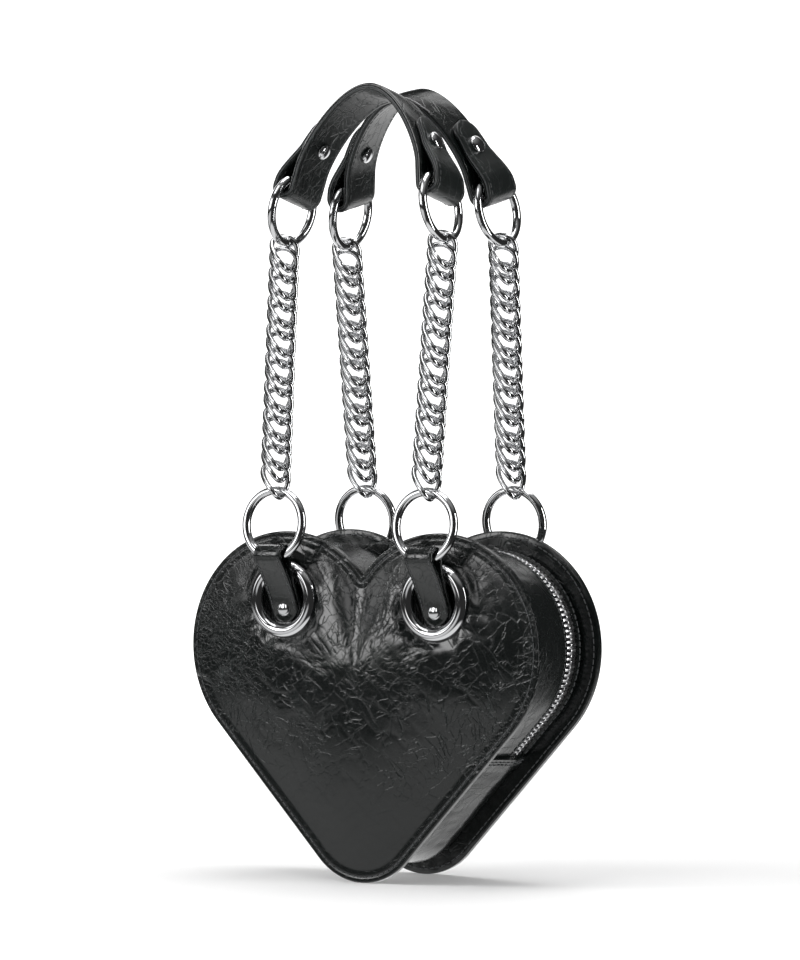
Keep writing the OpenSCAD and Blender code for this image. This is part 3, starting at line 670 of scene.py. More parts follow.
RIM_INSETS = (
    6.0, 5.5, 5.0, 4.5, 3.9, 3.4, 3.1, 2.9, 2.7, 2.5, 2.3, 2.0, 1.5, 1.1, 0.75, 0.45, 0.22, 0.07, 0.0
)
STITCH_INSET = 2.7
EDGE_ROUND = 0.55
PUFF_H = 6.4
PUFF_RINGS = 78
UNDERSIDE = ((0.0, 1), (6.0, 1), (6.0, 0.5), (6.0, 0.02))
FACING_INSETS = (0.0, 0.1, 0.4, 1.2, 3, 5, 7, 9, 11, 13, 15, 17.3)
FACING_SHARES = (0.8, 0.4, 0.02)


def rim_depth(inset):
    groove = 0.13 * math.exp(-(((inset - STITCH_INSET) / 0.4) ** 2))
    curl = EDGE_ROUND * (1 - math.sqrt(1 - max(0.0, 1 - inset / EDGE_ROUND) ** 2))
    return RIM_D - groove - curl


def heart_panel(back):
    """The padded outer leather: face, rim and a flat underside."""
    seed = 4.7 if back else 1.3
    rings = []
    rim, _ = outline(RIM_W)
    centre = np.array((0, HEART_MID_Z))
    shares = [0.015] + [0.03 + 0.97 * (i / PUFF_RINGS) ** 0.93 for i in range(PUFF_RINGS)]
    for share in shares:
        p = centre + share * (rim - centre)
        base = np.full(len(p), RIM_D + PUFF_H * (1 - share**2.0) ** 1.1)
        rings.append(np.c_[p[:, 0], -panel_height(p[:, 0], p[:, 1], base, seed), p[:, 1]])
    for inset in RIM_INSETS:
        p, _ = outline(inset)
        base = np.full(len(p), rim_depth(inset))
        rings.append(np.c_[p[:, 0], -panel_height(p[:, 0], p[:, 1], base, seed), p[:, 1]])
    for inset, share in UNDERSIDE:
        p, _ = outline(inset)
        p = centre + share * (p - centre)
        rings.append(np.c_[p[:, 0], np.full(len(p), -FACING_OUT_D), p[:, 1]])
    shape = Shape().add(*rings_to_solid(rings)).turned_round(back)
    return shape.build(named(back, "heart_leather"), FACE)


def heart_facing(back):
    """The flat leather behind the padding, with folds that run in from its edge."""
    rings = []
    centre = np.array((0, HEART_MID_Z))
    steps = [(inset, 1.0) for inset in FACING_INSETS]
    inner = [(FACING_INSETS[-1], share) for share in FACING_SHARES]
    for flat in (True, False):
        group = inner[::-1] + steps[::-1] if flat else steps + inner
        for inset, share in group:
            p, _ = outline(inset)
            q = centre + share * (p - centre)
            a = np.arctan2(q[:, 1] - 70, q[:, 0])
            fold = 0.22 * np.sin(37 * a + 3 * np.sin(5 * a)) * np.sin(16 * a) * smooth(inset / 3)
            curl = 0.35 * (1 - smooth(inset / 0.8))
            d = (FACING_OUT_D - 0.04) if flat else FACING_IN_D + curl + fold * (share == 1.0)
            rings.append(np.c_[q[:, 0], np.full(len(q), -1.0) * d, q[:, 1]])
    shape = Shape().add(*rings_to_solid(rings)).turned_round(back)
    return shape.build(named(back, "heart_facing"), BACKING)


def rim_stitches(back):
    path = Path(STITCH_INSET)
    count = int(path.length / STITCH_PITCH)
    spots = []
    for i in range(count):
        s = (i + 0.5) * path.length / count
        for d in (-rim_depth(STITCH_INSET) - 0.1, -FACING_IN_D + 0.16):
            spots.append(side_matrix(back) @ path.spot_matrix(s, d, 0))
    return repeated(named(back, "rim_stitches"), stitch(), spots, THREAD)


for is_back, word in SIDES:
    panel = heart_panel(is_back)
    settle(panel, "bag", "patent_leather", word + "_panel", word + "_padding")
    settle(heart_facing(is_back), "bag", "patent_leather", word + "_panel_facing")
    settle(rim_stitches(is_back), "bag", "patent_leather")


# Gusset and zip

def on_lobe(radius, angle):
    a = math.radians(angle)
    return LOBE_X + radius * math.cos(a), LOBE_Z + radius * math.sin(a)


GUSSET = Path(GUSSET_INSET)
RIDGE_Y, RIDGE_DIP = 14.0, -1.2
ZIP_RIDGE, BASE_RIDGE, TOOTH_LIFT = 1.0, 3.0, 1.2
LAP_OFF, LAP_T, LAP_STEP, LAP_WAVE = -0.2, 1.1, 0.8, 0.1
ZIP_START = GUSSET.nearest(*on_lobe(GUSSET_R, ZIP_TOP_A))
ZIP_RUN = math.radians(ZIP_TOP_A + SIDE_A) * GUSSET_R + ZIP_STRAIGHT
ZIP_END = ZIP_START + ZIP_RUN
BASE_END = GUSSET.length + ZIP_START
ZIP_LO_Y, ZIP_HI_Y = ZIP_Y - ZIP_WINDOW / 2, ZIP_Y + ZIP_WINDOW / 2


def ridge(y, rise=ZIP_RIDGE):
    """How far the wall stands out at a depth: sunk a little at the front corner, proud beside the zip."""
    if y < RIDGE_Y:
        return RIDGE_DIP + (rise - RIDGE_DIP) * (y + FACING_IN_D) / (RIDGE_Y + FACING_IN_D)
    return rise * (FACING_IN_D - y) / (FACING_IN_D - RIDGE_Y)


def wavy_wall(start, end, y0, y1, off0, off1, seed, step=1.6, amount=0.35, rise=ZIP_RIDGE):
    """A bent leather wall along the gusset's path, with slight waves that die out at its two sides."""
    count = max(int((end - start) / step), 4)
    lengths = np.linspace(start, end, count)
    origins, across, up = GUSSET.frames(lengths)
    mid, half = (y0 + y1) / 2, (y1 - y0) / 2
    ys = np.linspace(-half + 0.3, half - 0.3, max(int(half * 2 / 2.2), 5))
    top = [(-half, off1 - 0.35)] + [(y, off1) for y in ys] + [(half, off1 - 0.35)]
    bottom = [(half, off0)] + [(-half, off0)]
    profile = np.array([(y + mid, o) for y, o in top + bottom])
    verts, faces = sweep(origins, across, up, profile)
    verts = verts.reshape(count, len(profile), 3)
    for i, s in enumerate(lengths):
        for j, y in enumerate(ys):
            p = Vector((s / 17.0, (y + mid) / 21.0, seed))
            crease = max(1 - abs(noise.noise(p * 2.6)), 0) ** 14
            inside = min(1.0, (half - abs(y)) / 5.0)
            lift = ridge(y + mid, rise)
            verts[i, j + 1] += up[i] * ((amount * noise.noise(p) - 0.25 * crease) * inside + lift)
        for j, y in ((0, -half), (len(ys) + 1, half)):
            verts[i, j] += up[i] * ridge(y + mid, rise)
    return verts.reshape(-1, 3), faces


def gusset_pieces():
    """The base strip with a lap over each end of the zip strips, those strips and the stitches."""
    low, high = -FACING_IN_D, FACING_IN_D
    lap = (LAP_OFF, LAP_T)
    mean = (ZIP_RIDGE + BASE_RIDGE) / 2
    base = Shape()
    base.add(*wavy_wall(ZIP_END, BASE_END, low, high, -GUSSET_T, 0, 3.1, rise=BASE_RIDGE))
    base.add(*wavy_wall(ZIP_END - 7.0, ZIP_END + 1.5, low, high, *lap, 5.2, LAP_STEP, LAP_WAVE, rise=mean))
    base.add(*wavy_wall(BASE_END - 1.5, BASE_END + 5.0, low, high, *lap, 6.4, LAP_STEP, LAP_WAVE))
    front = Shape().add(*wavy_wall(ZIP_START, ZIP_END, low, ZIP_LO_Y, -GUSSET_T, 0, 8.3, amount=0.4))
    back = Shape().add(*wavy_wall(ZIP_START, ZIP_END, ZIP_HI_Y, high, -GUSSET_T, 0, 9.9, amount=0.1))
    for shape, name, node in (
        (base, "gusset_base_leather", "gusset_base"),
        (front, "gusset_front_leather", "gusset_front_strip"),
        (back, "gusset_back_leather", "gusset_back_strip"),
    ):
        settle(shape.build(name, SIDE, crease=50), "bag", "patent_leather", node)
    spots = []
    for y in (ZIP_LO_Y - 1.9, ZIP_HI_Y + 1.6):
        for s in np.arange(ZIP_START + 6, ZIP_END - 8, STITCH_PITCH):
            spots.append(GUSSET.spot_matrix(s, y, ridge(y) + 0.1))
    crosswise = Matrix.Rotation(math.pi / 2, 4, "X")
    for s in (ZIP_END - 5.2, ZIP_END - 3.4, BASE_END + 3.2):
        for y in np.arange(low + 2, high - 1, STITCH_PITCH):
            spots.append(GUSSET.spot_matrix(s, y, ridge(y, 2.0) + 1.15) @ crosswise)
    settle(repeated("gusset_stitches", stitch(), spots, THREAD), "bag", "patent_leather")


def zip_pieces():
    inner = Path(LOBE_R - TOOTH_MID_R)
    start = inner.nearest(*on_lobe(TOOTH_MID_R, ZIP_TOP_A))
    run = math.radians(ZIP_TOP_A + SIDE_A) * TOOTH_MID_R + ZIP_STRAIGHT
    low = -GUSSET_T - 0.1 - TAPE_T + TOOTH_LIFT / 2
    for side, node in ((-1, "zip_tape_front"), (1, "zip_tape_back")):
        y_in = ZIP_Y + side * 1.2
        y_out = ZIP_LO_Y - 5 if side < 0 else min(ZIP_HI_Y + 5, FACING_IN_D - 0.1)
        y0, y1 = min(y_in, y_out), max(y_in, y_out)
        tape = [(y0, low), (y1, low), (y1, low + TAPE_T), (y0, low + TAPE_T)]
        shape = Shape().add(*sweep(*GUSSET.frames(np.linspace(ZIP_START, ZIP_END, 150)), tape))
        settle(shape.build(node + "_cloth", CLOTH), "bag", "cloth", node)
    for side, shift, node in ((-1, 0.0, "zip_teeth_front"), (1, 0.5, "zip_teeth_back")):
        tooth = Shape()
        outer = rounded_bar(1.35, -1.2, 1.2, 0.4, 3)
        ys = np.array((-4.3, -4.0, -0.3, 0.6, 0.9))
        grow = np.array((0.75, 1.0, 1.0, 0.85, 0.5))
        drop = np.array((0.9, 0.6, 0.0, 0.0, 0.2))
        origins = np.c_[-drop, -side * ys, 0 * ys]
        across = np.tile((0.0, 0.0, 1.0), (5, 1))
        up = np.tile((1.0, 0.0, 0.0), (5, 1))
        verts, faces = sweep(origins, across, up, outer, widths=grow)
        tooth.add(verts, faces)
        piece = tooth.build("tooth", ZIP_METAL)
        first = 2 + TOOTH_PITCH * (1 + shift)
        steps = np.arange(first, run - 2 - TOOTH_PITCH, TOOTH_PITCH)
        spots = [inner.spot_matrix(start + s, ZIP_Y, TOOTH_LIFT) for s in steps]
        settle(repeated(node + "_row", piece, spots, ZIP_METAL), "bag", "zip_metal", node)


gusset_pieces()
zip_pieces()


# Grommets, tabs and their studs

def at_grommet(side, depth, z=GROMMET_Z):
    """Z axis outwards through the front panel, at a distance from the middle of the bag."""
    return at(side * GROMMET_X, -depth, z, OUTWARDS)


def grommets(back):
    shape = Shape()
    a = np.radians(np.linspace(0, 180, 33))
    dome = [(GROMMET_HOLE_R + DOME_R + DOME_R * math.cos(t), SEAT_D + DOME_R * math.sin(t)) for t in a]
    sleeve_r, under = GROMMET_HOLE_R + 0.9, SEAT_D - 0.4
    dome += [(GROMMET_HOLE_R, FACING_OUT_D), (sleeve_r, FACING_OUT_D), (sleeve_r, under)]
    dome.append((GROMMET_R - 0.2, under))
    for side in (-1, 1):
        spin(shape, dome, at_grommet(side, 0), 144)
    return shape.turned_round(back).build(named(back, "grommet_rings"), CHROME)


def resample(points, step, passes=3):
    """Rounds a polyline by cutting its corners, then spaces its points evenly."""
    p = np.asarray(points, float)
    for _ in range(passes):
        cut = np.empty((2 * len(p) - 2, p.shape[1]))
        cut[0::2] = 0.75 * p[:-1] + 0.25 * p[1:]
        cut[1::2] = 0.25 * p[:-1] + 0.75 * p[1:]
        p = np.vstack([p[:1], cut, p[-1:]])
    gaps = lengths_along(p)
    s = np.linspace(0, gaps[-1], max(int(gaps[-1] / step), 3))
    return np.c_[[np.interp(s, gaps, p[:, i]) for i in range(p.shape[1])]].T


def normals_2d(points):
    d = np.gradient(points, axis=0)
    d /= np.linalg.norm(d, axis=1)[:, None]
    return np.c_[-d[:, 1], d[:, 0]]


def tab_path():
    """The middle line of the tab leather, as (distance from the middle of the bag, z)."""
    half = TAB_T / 2
    low = TAB_TONGUE_Z - TAB_W / 2
    loop_r = LOOP_OUT_R - half
    loop = [
        (LOOP_D + loop_r * math.cos(math.radians(a)), LOOP_Z + loop_r * math.sin(math.radians(a)))
        for a in range(180, -35, -12)
    ]
    back_d = FACING_OUT_D + half
    back = [(back_d, low), (back_d, TAB_BEND_Z - 1), (TAB_CREST_D + half, TAB_CREST_Z)]
    front_d = FACING_OUT_D + TAB_T + half
    front = [
        (TAB_CREST_D + TAB_T + half + 0.3, TAB_CREST_Z - TAB_T + 0.5),
        (front_d, TAB_BEND_Z - TAB_T / 2 - 1),
        (front_d, low),
    ]
    return resample(back + loop + front, 0.55)


def tabs(back):
    path = tab_path()
    normal = -normals_2d(path)
    width = np.where(
        path[:, 1] < TAB_TONGUE_Z,
        np.sqrt(np.clip(1 - ((TAB_TONGUE_Z - path[:, 1]) / (TAB_W / 2)) ** 2, 0.0016, 1)),
        1.0,
    )
    profile = rounded_bar(TAB_W, -TAB_T / 2, TAB_T / 2, 0.7, 4, 6)
    profile = [(x, y + 0.25 * (1 - (2 * x / TAB_W) ** 2) * (y > 0)) for x, y in profile]
    shape, spots = Shape(), []
    for side in (-1, 1):
        origins = np.c_[np.full(len(path), side * GROMMET_X), -path[:, 0], path[:, 1]]
        up = np.c_[0 * path[:, 0], -normal[:, 0], normal[:, 1]]
        across = np.tile((1.0, 0.0, 0.0), (len(path), 1))
        half_way = len(path) // 2
        if np.dot(up[half_way], origins[half_way] - np.array((side * GROMMET_X, -LOOP_D, LOOP_Z))) < 0:
            up = -up
        shape.add(*sweep(origins, across, up, profile, widths=width))
        visible = [i for i in range(half_way - 12, len(path) - 4, 5) if width[i] > 0.99]
        for i in visible:
            along = Vector(origins[i + 1] - origins[i - 1]).normalized()
            out = Vector(up[i])
            for edge in (-1, 1):
                aside = Vector((edge * (TAB_W / 2 - 1.5), 0, 0))
                place = Vector(origins[i]) + out * (TAB_T / 2 + 0.06) + aside
                spots.append(side_matrix(back) @ axes(out, along.cross(out), along, place))
    leather = shape.turned_round(back).build(named(back, "tab_leather"), STRAP)
    settle(leather, "bag", "patent_leather", named(back, "tabs"))
    settle(repeated(named(back, "tab_stitches"), stitch(2.2, 0.24), spots, THREAD), "bag", "patent_leather")


def stud_outline(radius, height, base, foot, shank):
    """A domed head on a rim and a shank, from the shank's foot to the top of the head."""
    rim = 0.35
    points = [(shank, foot), (shank, base), (radius - 0.25, base), (radius, base + 0.3)]
    points.append((radius, base + height * rim))
    for i in range(1, 9):
        a = math.radians(90 * i / 8)
        points.append((max(radius * math.cos(a), 0.02), base + height * (rim + 0.65 * math.sin(a))))
    return points


def tab_studs(back):
    shape = Shape()
    stud = stud_outline(TAB_STUD_R, 2.0, FACING_OUT_D + 2 * TAB_T, FACING_IN_D - 1.2, 1.6)
    for side in (-1, 1):
        spin_solid(shape, stud, at_grommet(side, 0, TAB_STUD_Z))
    return shape.turned_round(back).build(named(back, "tab_stud_heads"), CHROME)


for is_back, word in SIDES:
    settle(grommets(is_back), "bag", "chrome", word + "_grommets")
    tabs(is_back)
    settle(tab_studs(is_back), "bag", "chrome", word + "_tab_studs")


# Rings and chains

BAIL = at(0, -LOOP_D, LOOP_Z, ("X", -CHAIN_LEAN))
HANDLE = BAIL @ at(0, 0, UPPER_MID, ("X", CHAIN_LEAN - HANDLE_LEAN))


def wire_rings(name, back, spots, mat):
    shape = Shape()
    for spot in spots:
        spin(shape, circle_profile(RING_WIRE_R, 32, (RING_R, 0)), side_matrix(back) @ spot, 144)
    return shape.build(name, mat)


def link_piece():
    """One curb link: a loop bent to a saddle and tilted, so that it lies against the next ones."""
    t = np.radians(np.linspace(0, 360, 56, endpoint=False))
    bow = CURB_TILT * np.sin(t) - CURB_C * np.sin(2 * t)
    bow_step = CURB_TILT * np.cos(t) - 2 * CURB_C * np.cos(2 * t)
    mid = np.c_[CURB_A * np.cos(t), bow, CURB_B * np.sin(t)]
    along = np.c_[-CURB_A * np.sin(t), bow_step, CURB_B * np.cos(t)]
    along /= np.linalg.norm(along, axis=1)[:, None]
    across = np.cross(along, (0.0, 1.0, 0.0))
    across /= np.linalg.norm(across, axis=1)[:, None]
    up = np.cross(along, across)
    solid = sweep(mid, across, up, circle_profile(CURB_WIRE_R, 14), closed=True)
    return Shape().add(*solid).build("link", CHROME)


def chain(name, back, side):
    foot = BAIL @ at(side * GROMMET_X, 0, CHAIN_FOOT, ("Y", side * CHAIN_LEAN_X))
    spots = []
    end = RING_WIRE_R + CURB_WIRE_R + 0.1
    pitch = (CHAIN_LEN + 2 * end - 2 * CURB_B) / (CHAIN_LINKS - 1)
    for i in range(CHAIN_LINKS):
        up = CURB_B - end + i * pitch + (2 * CURB_SHIFT if i % 2 else 0)
        spots.append(side_matrix(back) @ foot @ at(0, 0, up, ("Z", CHAIN_TURN + (180 if back else 0))))
    return repeated(name, link_piece(), spots, CHROME)


for is_back, word in SIDES:
    low = [BAIL @ at(s * GROMMET_X, 0, O_RING_MID, ("X", 90)) for s in (-1, 1)]
    high = [HANDLE @ at(s * UPPER_RING_X, 0, 0, ("Y", 90 - s * UPPER_RING_TILT)) for s in (-1, 1)]
    lower = wire_rings(word + "_lower_rings", is_back, low, CHROME)
    upper = wire_rings(word + "_upper_rings", is_back, high, CHROME)
    settle(lower, word + "_rings", "chrome", word + "_o_rings")
    settle(upper, word + "_upper_rings", "chrome", word + "_handle_rings")
    for hand, side in (("left", 1 if is_back else -1), ("right", -1 if is_back else 1)):
        made = chain(f"{word}_{hand}_chain_links", is_back, side)
        settle(made, word + "_chains", "chrome", f"{word}_{hand}_chain")


# Handles

def tilted(x, z):
    """A place in the tilted frame of the right upper ring, as (x, z) of the handle."""
    a = math.radians(UPPER_RING_TILT)
    return np.array((UPPER_RING_X + x * math.cos(a) - z * math.sin(a), x * math.sin(a) + z * math.cos(a)))


ARCH_FOOT = tilted(-FOLD_R, LEG_TOP)
ARCH_TILT = math.radians(UPPER_RING_TILT)
ARCH_RISE = np.array((-math.sin(ARCH_TILT), math.cos(ARCH_TILT)))
ARCH_PTS = [ARCH_FOOT, ARCH_FOOT + 12 * ARCH_RISE, np.array((16.0, ARCH_H)), np.array((0.0, ARCH_H))]


def bezier(t):
    a, b, c, d = ARCH_PTS
    return (1 - t) ** 3 * a + 3 * (1 - t) ** 2 * t * b + 3 * (1 - t) * t * t * c + t**3 * d


def bezier_dir(t):
    a, b, c, d = ARCH_PTS
    v = (1 - t) ** 2 * (b - a) + 2 * (1 - t) * t * (c - b) + t * t * (d - c)
    return v / np.linalg.norm(v)


def bezier_out(t):
    d = bezier_dir(t)
    return np.array((d[1], -d[0]))


def strap_path():
    """The strap's line from the middle of the arch to the end of its tongue, and its half widths."""
    points = [bezier(t) for t in np.linspace(1, 0, 40)]
    bend = STRAP_W / 2
    points.append(tilted(-FOLD_R, FOLD_Z))
    fold = [
        tilted(FOLD_R * math.cos(math.radians(a)), FOLD_Z + FOLD_R * math.sin(math.radians(a)))
        for a in range(195, 361, 15)
    ]
    tongue = [tilted(FOLD_R, RING_OUT_R - 2.2)]
    tongue += [bezier(t) + TONGUE_SHIFT * bezier_out(t) for t in np.linspace(0.2, 0.48, 10)]
    path = resample(points + fold + tongue, 0.8, 2)
    gaps = lengths_along(path)
    foot = tilted(0, FOLD_Z - FOLD_R)
    turn = gaps[np.argmin(np.hypot(*(path - foot).T))] + FOLD_R * 1.6
    to_end = gaps[-1] - gaps
    straight = gaps[-1] - turn - TONGUE_END_R
    width = np.full(len(path), bend)
    tapering = (gaps > turn) & (to_end > TONGUE_END_R)
    width[tapering] = bend + (TONGUE_END_R - bend) * (gaps[tapering] - turn) / straight
    ending = to_end <= TONGUE_END_R
    width[ending] = np.sqrt(np.clip(TONGUE_END_R**2 - (TONGUE_END_R - to_end[ending]) ** 2, 0.09, None))
    return path, width


STRAP_PATH, STRAP_HALF = strap_path()


def whole_strap():
    """Both halves of the strap as one path, with its outward normals and half widths."""
    left = STRAP_PATH[:0:-1] * (-1, 1)
    path = np.vstack([left, STRAP_PATH])
    half = np.r_[STRAP_HALF[:0:-1], STRAP_HALF]
    return path, normals_2d(path), half


def strap_ripple(along, x, seed):
    """Swells of the leather along the strap, less thin creases."""
    crease = max(1 - abs(noise.noise(Vector((along / 7.0, x * 2.2, seed + 4)))), 0) ** 12
    return noise.noise(Vector((along / 9.0, x * 1.6, seed))) - crease * 0.8


def strap_layer(low, high, crown, radius, seed, wrinkle):
    """One leather of the strap between two heights, with rounded edges, a crown and wrinkles."""
    path, normal, half = whole_strap()
    n = len(path)
    profile = rounded_bar(2.0, 0, 1, 0.12, 4, 10)
    origins = np.c_[path[:, 0], np.zeros(n), path[:, 1]]
    up = np.c_[normal[:, 0], np.zeros(n), normal[:, 1]]
    verts = np.empty((n, len(profile), 3))
    for j, (x, y) in enumerate(profile):
        edge = 1 - abs(x)
        fall = (1 - np.clip(edge * half / radius, 0, 1)) ** 2
        round_off = radius * (1 - np.sqrt(np.clip(1 - fall, 0, 1)))
        off = high - round_off if y > 0.5 else low + round_off
        off = np.where(off > high, high, off)
        bulge = crown * (1 - x * x) if (y > 0.5) == (crown > 0) else 0.0
        ripple = np.array([strap_ripple(s, x, seed) for s in np.arange(n) * 0.8])
        off = off + bulge + ripple * wrinkle * min(1.0, edge * 3)
        aside = np.array((0, -1.0, 0)) * (x * half)[:, None]
        verts[:, j] = origins + up * np.reshape(off, (-1, 1)) + aside
    return verts.reshape(-1, 3), quads(n, len(profile)) + caps(n, len(profile))


def outward(shape):
    """Turns every face of a built object outwards."""
    work = bmesh.new()
    work.from_mesh(shape.data)
    bmesh.ops.recalc_face_normals(work, faces=work.faces)
    work.to_mesh(shape.data)
    work.free()
    return shape


def strap_object(name, back, low, high, crown, radius, seed, wrinkle, mat):
    shape = Shape().add(*strap_layer(low, high, crown, radius, seed, wrinkle))
    return outward(shape.moved(HANDLE).turned_round(back).build(name, mat, crease=50))


def strap_stitches(back):
    path, normal, half = whole_strap()
    n = len(path)
    spots = []
    gaps = lengths_along(path)
    for s in np.arange(6, gaps[-1] - 6, 3.0):
        i = int(np.clip(np.searchsorted(gaps, s), 1, n - 2))
        d = path[i + 1] - path[i - 1]
        along = Vector((d[0], 0, d[1])).normalized()
        out = Vector((normal[i][0], 0, normal[i][1]))
        for edge in (-1, 1):
            for off in (STRAP_OUTER_T - 0.18, -STRAP_INNER_T - 0.02):
                slope = (half[i + 1] - half[i - 1]) / max(np.linalg.norm(d), 0.01)
                heading = (along + Vector((0, edge * slope, 0))).normalized()
                place = Vector((path[i][0], edge * max(half[i] - 2.0, 0.3), path[i][1])) + out * off
                made = axes(out, heading.cross(out), heading, place)
                spots.append(side_matrix(back) @ HANDLE @ made)
    return repeated(named(back, "strap_stitches"), stitch(2.3, 0.25), spots, THREAD)


def handle_studs(back):
    shape = Shape()
    t = 0.25
    p, d, out = bezier(t), bezier_dir(t), bezier_out(t)
    lift = STRAP_INNER_T + 0.1
    outer_head = stud_outline(HANDLE_STUD_R, 2.4, TONGUE_SHIFT + STRAP_INNER_T + 0.1, -lift, 1.7)
    inner_head = stud_outline(4.0, 2.4, lift, 0.2, 1.7)
    for side in (-1, 1):
        axis = Vector((side * out[0], 0, out[1]))
        along = Vector((side * d[0], 0, d[1]))
        place = axes(along, axis.cross(along), axis, Vector((side * p[0], 0, p[1])))
        spin_solid(shape, outer_head, HANDLE @ place)
        spin_solid(shape, inner_head, HANDLE @ place @ Matrix.Rotation(math.pi, 4, "X"))
    return shape.turned_round(back).build(named(back, "handle_stud_heads"), CHROME)


for is_back, word in SIDES:
    body = word + "_handle"
    outer = strap_object(word + "_strap_outer", is_back, 0.12, STRAP_OUTER_T, 0.5, 1.1, 2.2, 0.14, STRAP)
    inner = strap_object(
        word + "_strap_inner", is_back, -STRAP_INNER_T, -0.12, -0.12, 0.5, 7.7, 0.1, STRAP_LINING
    )
    core = strap_object(word + "_strap_edge", is_back, -0.3, 0.3, 0.0, 0.15, 1.0, 0.0, EDGE)
    settle(outer, body, "patent_leather", word + "_handle_outer")
    settle(inner, body, "inner_leather", word + "_handle_inner")
    settle(core, body, "inner_leather")
    settle(strap_stitches(is_back), body, "patent_leather")
    settle(handle_studs(is_back), body, "chrome", word + "_handle_studs")


# CAD pieces that keep their shapes

KEPT = {
    ZIP_METAL: ("zip_slider", "zip_pull", "zip_end_stops"),
    CLOTH: ("lining",),
    STEEL: ("front_grommet_washers", "back_grommet_washers", "front_anchor_plates", "back_anchor_plates"),
}
for mat, names in KEPT.items():
    for name in names:
        nodes[name].data.materials.clear()
        nodes[name].data.materials.append(mat)


# Studio

AZIMUTH, ELEVATION, DISTANCE = 33.3, 0.5, 2.306
AIM = Vector((0, 0, 0.2))
IMAGE_LONG_SIDE, FOCAL_PX, SHIFT_X_PX, SHIFT_Z_PX = 960, 4741, -5.2, -12.7
SENSOR = 36.0

azimuth, elevation = math.radians(AZIMUTH), math.radians(ELEVATION)
TOWARDS = Vector((
    math.sin(azimuth) * math.cos(elevation), -math.cos(azimuth) * math.cos(elevation), math.sin(elevation)))

camera = bpy.data.objects.new("camera", bpy.data.cameras.new("camera"))
camera.location = AIM + TOWARDS * DISTANCE
camera.rotation_euler = (-TOWARDS).to_track_quat("-Z", "Y").to_euler()
camera.data.sensor_width = SENSOR
camera.data.lens = FOCAL_PX / IMAGE_LONG_SIDE * SENSOR
camera.data.shift_x = -SHIFT_X_PX / IMAGE_LONG_SIDE
camera.data.shift_y = SHIFT_Z_PX / IMAGE_LONG_SIDE
camera.data.clip_start, camera.data.clip_end = 0.1, 60.0
bpy.context.scene.collection.objects.link(camera)
bpy.context.scene.camera = camera


def softbox(name, place, size, power):
    data = bpy.data.lights.new(name, "AREA")
    data.shape, data.size, data.size_y, data.energy = "RECTANGLE", size[0], size[1], power
    lamp = bpy.data.objects.new(name, data)
    lamp.location = place
    lamp.rotation_euler = (AIM - place).to_track_quat("-Z", "Y").to_euler()
    lamp.visible_camera = False
    bpy.context.scene.collection.objects.link(lamp)
    return lamp


def from_bearing(bearing, height, reach):
    """A place at a bearing to the right of straight in front, at an angle above the bag's middle."""
    b, h = math.radians(bearing), math.radians(height)
    return AIM + Vector((math.sin(b) * math.cos(h), -math.cos(b) * math.cos(h), math.sin(h))) * reach


key = softbox("tall_left", from_bearing(-53, 18, 1.4), (0.6, 1.4), 13)
key.visible_glossy = False
softbox("front_top", from_bearing(-12, 58, 1.4), (0.9, 0.6), 3)
softbox("strip_right", from_bearing(100, 6, 1.3), (0.25, 1.2), 8)
softbox("behind_left", from_bearing(-125, 25, 1.5), (0.3, 1.2), 4)
softbox("top", from_bearing(180, 80, 1.6), (1.0, 1.0), 14)


def sweep_floor():
    """A pale floor that curves up all round into a backdrop."""
    flat, curve, wall = 4.0, 2.5, 5.0
    outline_pts = [(r, 0.0) for r in (0.0005, 0.3, 1.0, 2.0, 3.0, flat)]
    for i in range(1, 13):
        a = math.radians(90 * i / 12)
        outline_pts.append((flat + curve * math.sin(a), curve * (1 - math.cos(a))))
    outline_pts.append((flat + curve, wall))
    sides, k = 96, len(outline_pts)
    verts = [
        (r * math.cos(2 * math.pi * i / sides), r * math.sin(2 * math.pi * i / sides), z)
        for i in range(sides)
        for r, z in outline_pts
    ]
    faces = [face[::-1] for face in quads(sides, k, loop_rows=True, loop_columns=False, flipped=True)]
    mesh = bpy.data.meshes.new("floor")
    mesh.from_pydata(verts, [], faces)
    mesh.polygons.foreach_set("use_smooth", np.ones(len(faces), bool))
    tree = material("pale_floor")
    away = tree.node("ShaderNodeVectorMath", {0: tree.place()}, "Value", operation="LENGTH")
    seen = tree.node("ShaderNodeLightPath", output="Is Camera Ray")
    glow = away.ramp(0.5, 1.6, 0.0, 1.0) * seen + 0.12
    mesh.materials.append(tree.surface(
        Base_Color=(0.8, 0.8, 0.8, 1.0), Roughness=0.9, Specular_IOR_Level=0.0, Emission_Strength=1.0,
        Emission_Color=tree.node("ShaderNodeCombineColor", {0: glow, 1: glow, 2: glow})))
    made = bpy.data.objects.new("floor", mesh)
    bpy.context.scene.collection.objects.link(made)
    made.visible_glossy = False
    made.visible_shadow = False
    return made


sweep_floor()


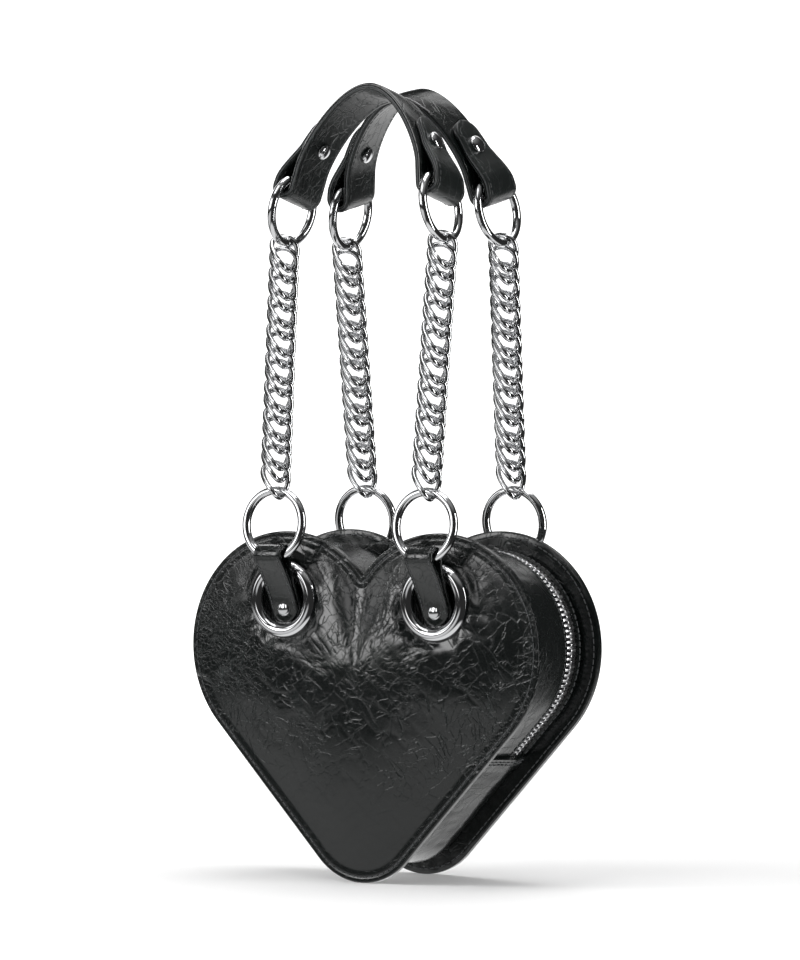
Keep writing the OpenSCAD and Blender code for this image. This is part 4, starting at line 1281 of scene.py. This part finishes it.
# Soft glows: bearing, level, lowest and highest sine of the height, half width, softness
GLOWS = (
    (-33, 6.5, 0.05, 0.46, 0.11, 0.05),
    (-56, 1.8, 0.05, 0.5, 0.13, 0.08),
    (-10, 2.2, 0.06, 0.5, 0.08, 0.06),
    (190, 1.2, 0.45, 0.75, 0.16, 0.1),
)


def studio_world():
    """White low down and straight behind the bag, dark elsewhere at eye level, a little light above."""
    world = bpy.data.worlds.new("studio")
    bpy.context.scene.world = world
    tree = Tree(world)
    direction = tree.node("ShaderNodeTexCoord", output="Generated")
    height = tree.node("ShaderNodeSeparateXYZ", {0: direction}, "Z")

    def facing(x, y, z=0.0):
        inputs = {0: direction, 1: (x, y, z)}
        return tree.node("ShaderNodeVectorMath", inputs, "Value", operation="DOT_PRODUCT")

    behind = facing(*-TOWARDS)
    left_front = facing(-0.549, -0.836)
    backdrop = behind.ramp(0.8, 0.93, 0.0, 0.8) * height.math("ABSOLUTE").ramp(0.12, 0.35, 1.0, 0.0)
    floor = (
        height.ramp(-0.3, -0.05, 1.0, 0.0) * behind.ramp(0.45, 0.65, 0.0, 1.35)
        + height.ramp(-0.22, -0.09, 1.0, 0.0) * left_front.ramp(0.6, 0.85, 0.0, 0.75))
    floor = floor.math("MAXIMUM", height.ramp(-0.78, -0.62, 0.95, 0.0))
    glow = backdrop.math("MAXIMUM", floor) + height.ramp(0.5, 0.95, 0.03, 0.35)
    for bearing, level, low, high, half, soft in GLOWS:
        b = math.radians(bearing)
        ahead = facing(math.sin(b), -math.cos(b))
        aside = facing(math.cos(b), math.sin(b)).math("ABSOLUTE")
        across = aside.ramp(half * 0.4, half * 1.6, level, 0.0) * ahead.ramp(0.0, 0.1)
        upright = height.ramp(low - soft, low + soft) * height.ramp(high - soft, high + soft, 1.0, 0.0)
        glow = glow + across * upright
    colour = tree.node("ShaderNodeCombineColor", {0: glow, 1: glow, 2: glow})
    light = tree.node("ShaderNodeBackground", {"Color": colour, "Strength": 1.0})
    out = tree.nodes.new("ShaderNodeOutputWorld")
    tree.links.new(light.out, out.inputs["Surface"])


studio_world()

scene = bpy.context.scene
scene.view_settings.view_transform = "Standard"
scene.render.film_transparent = False
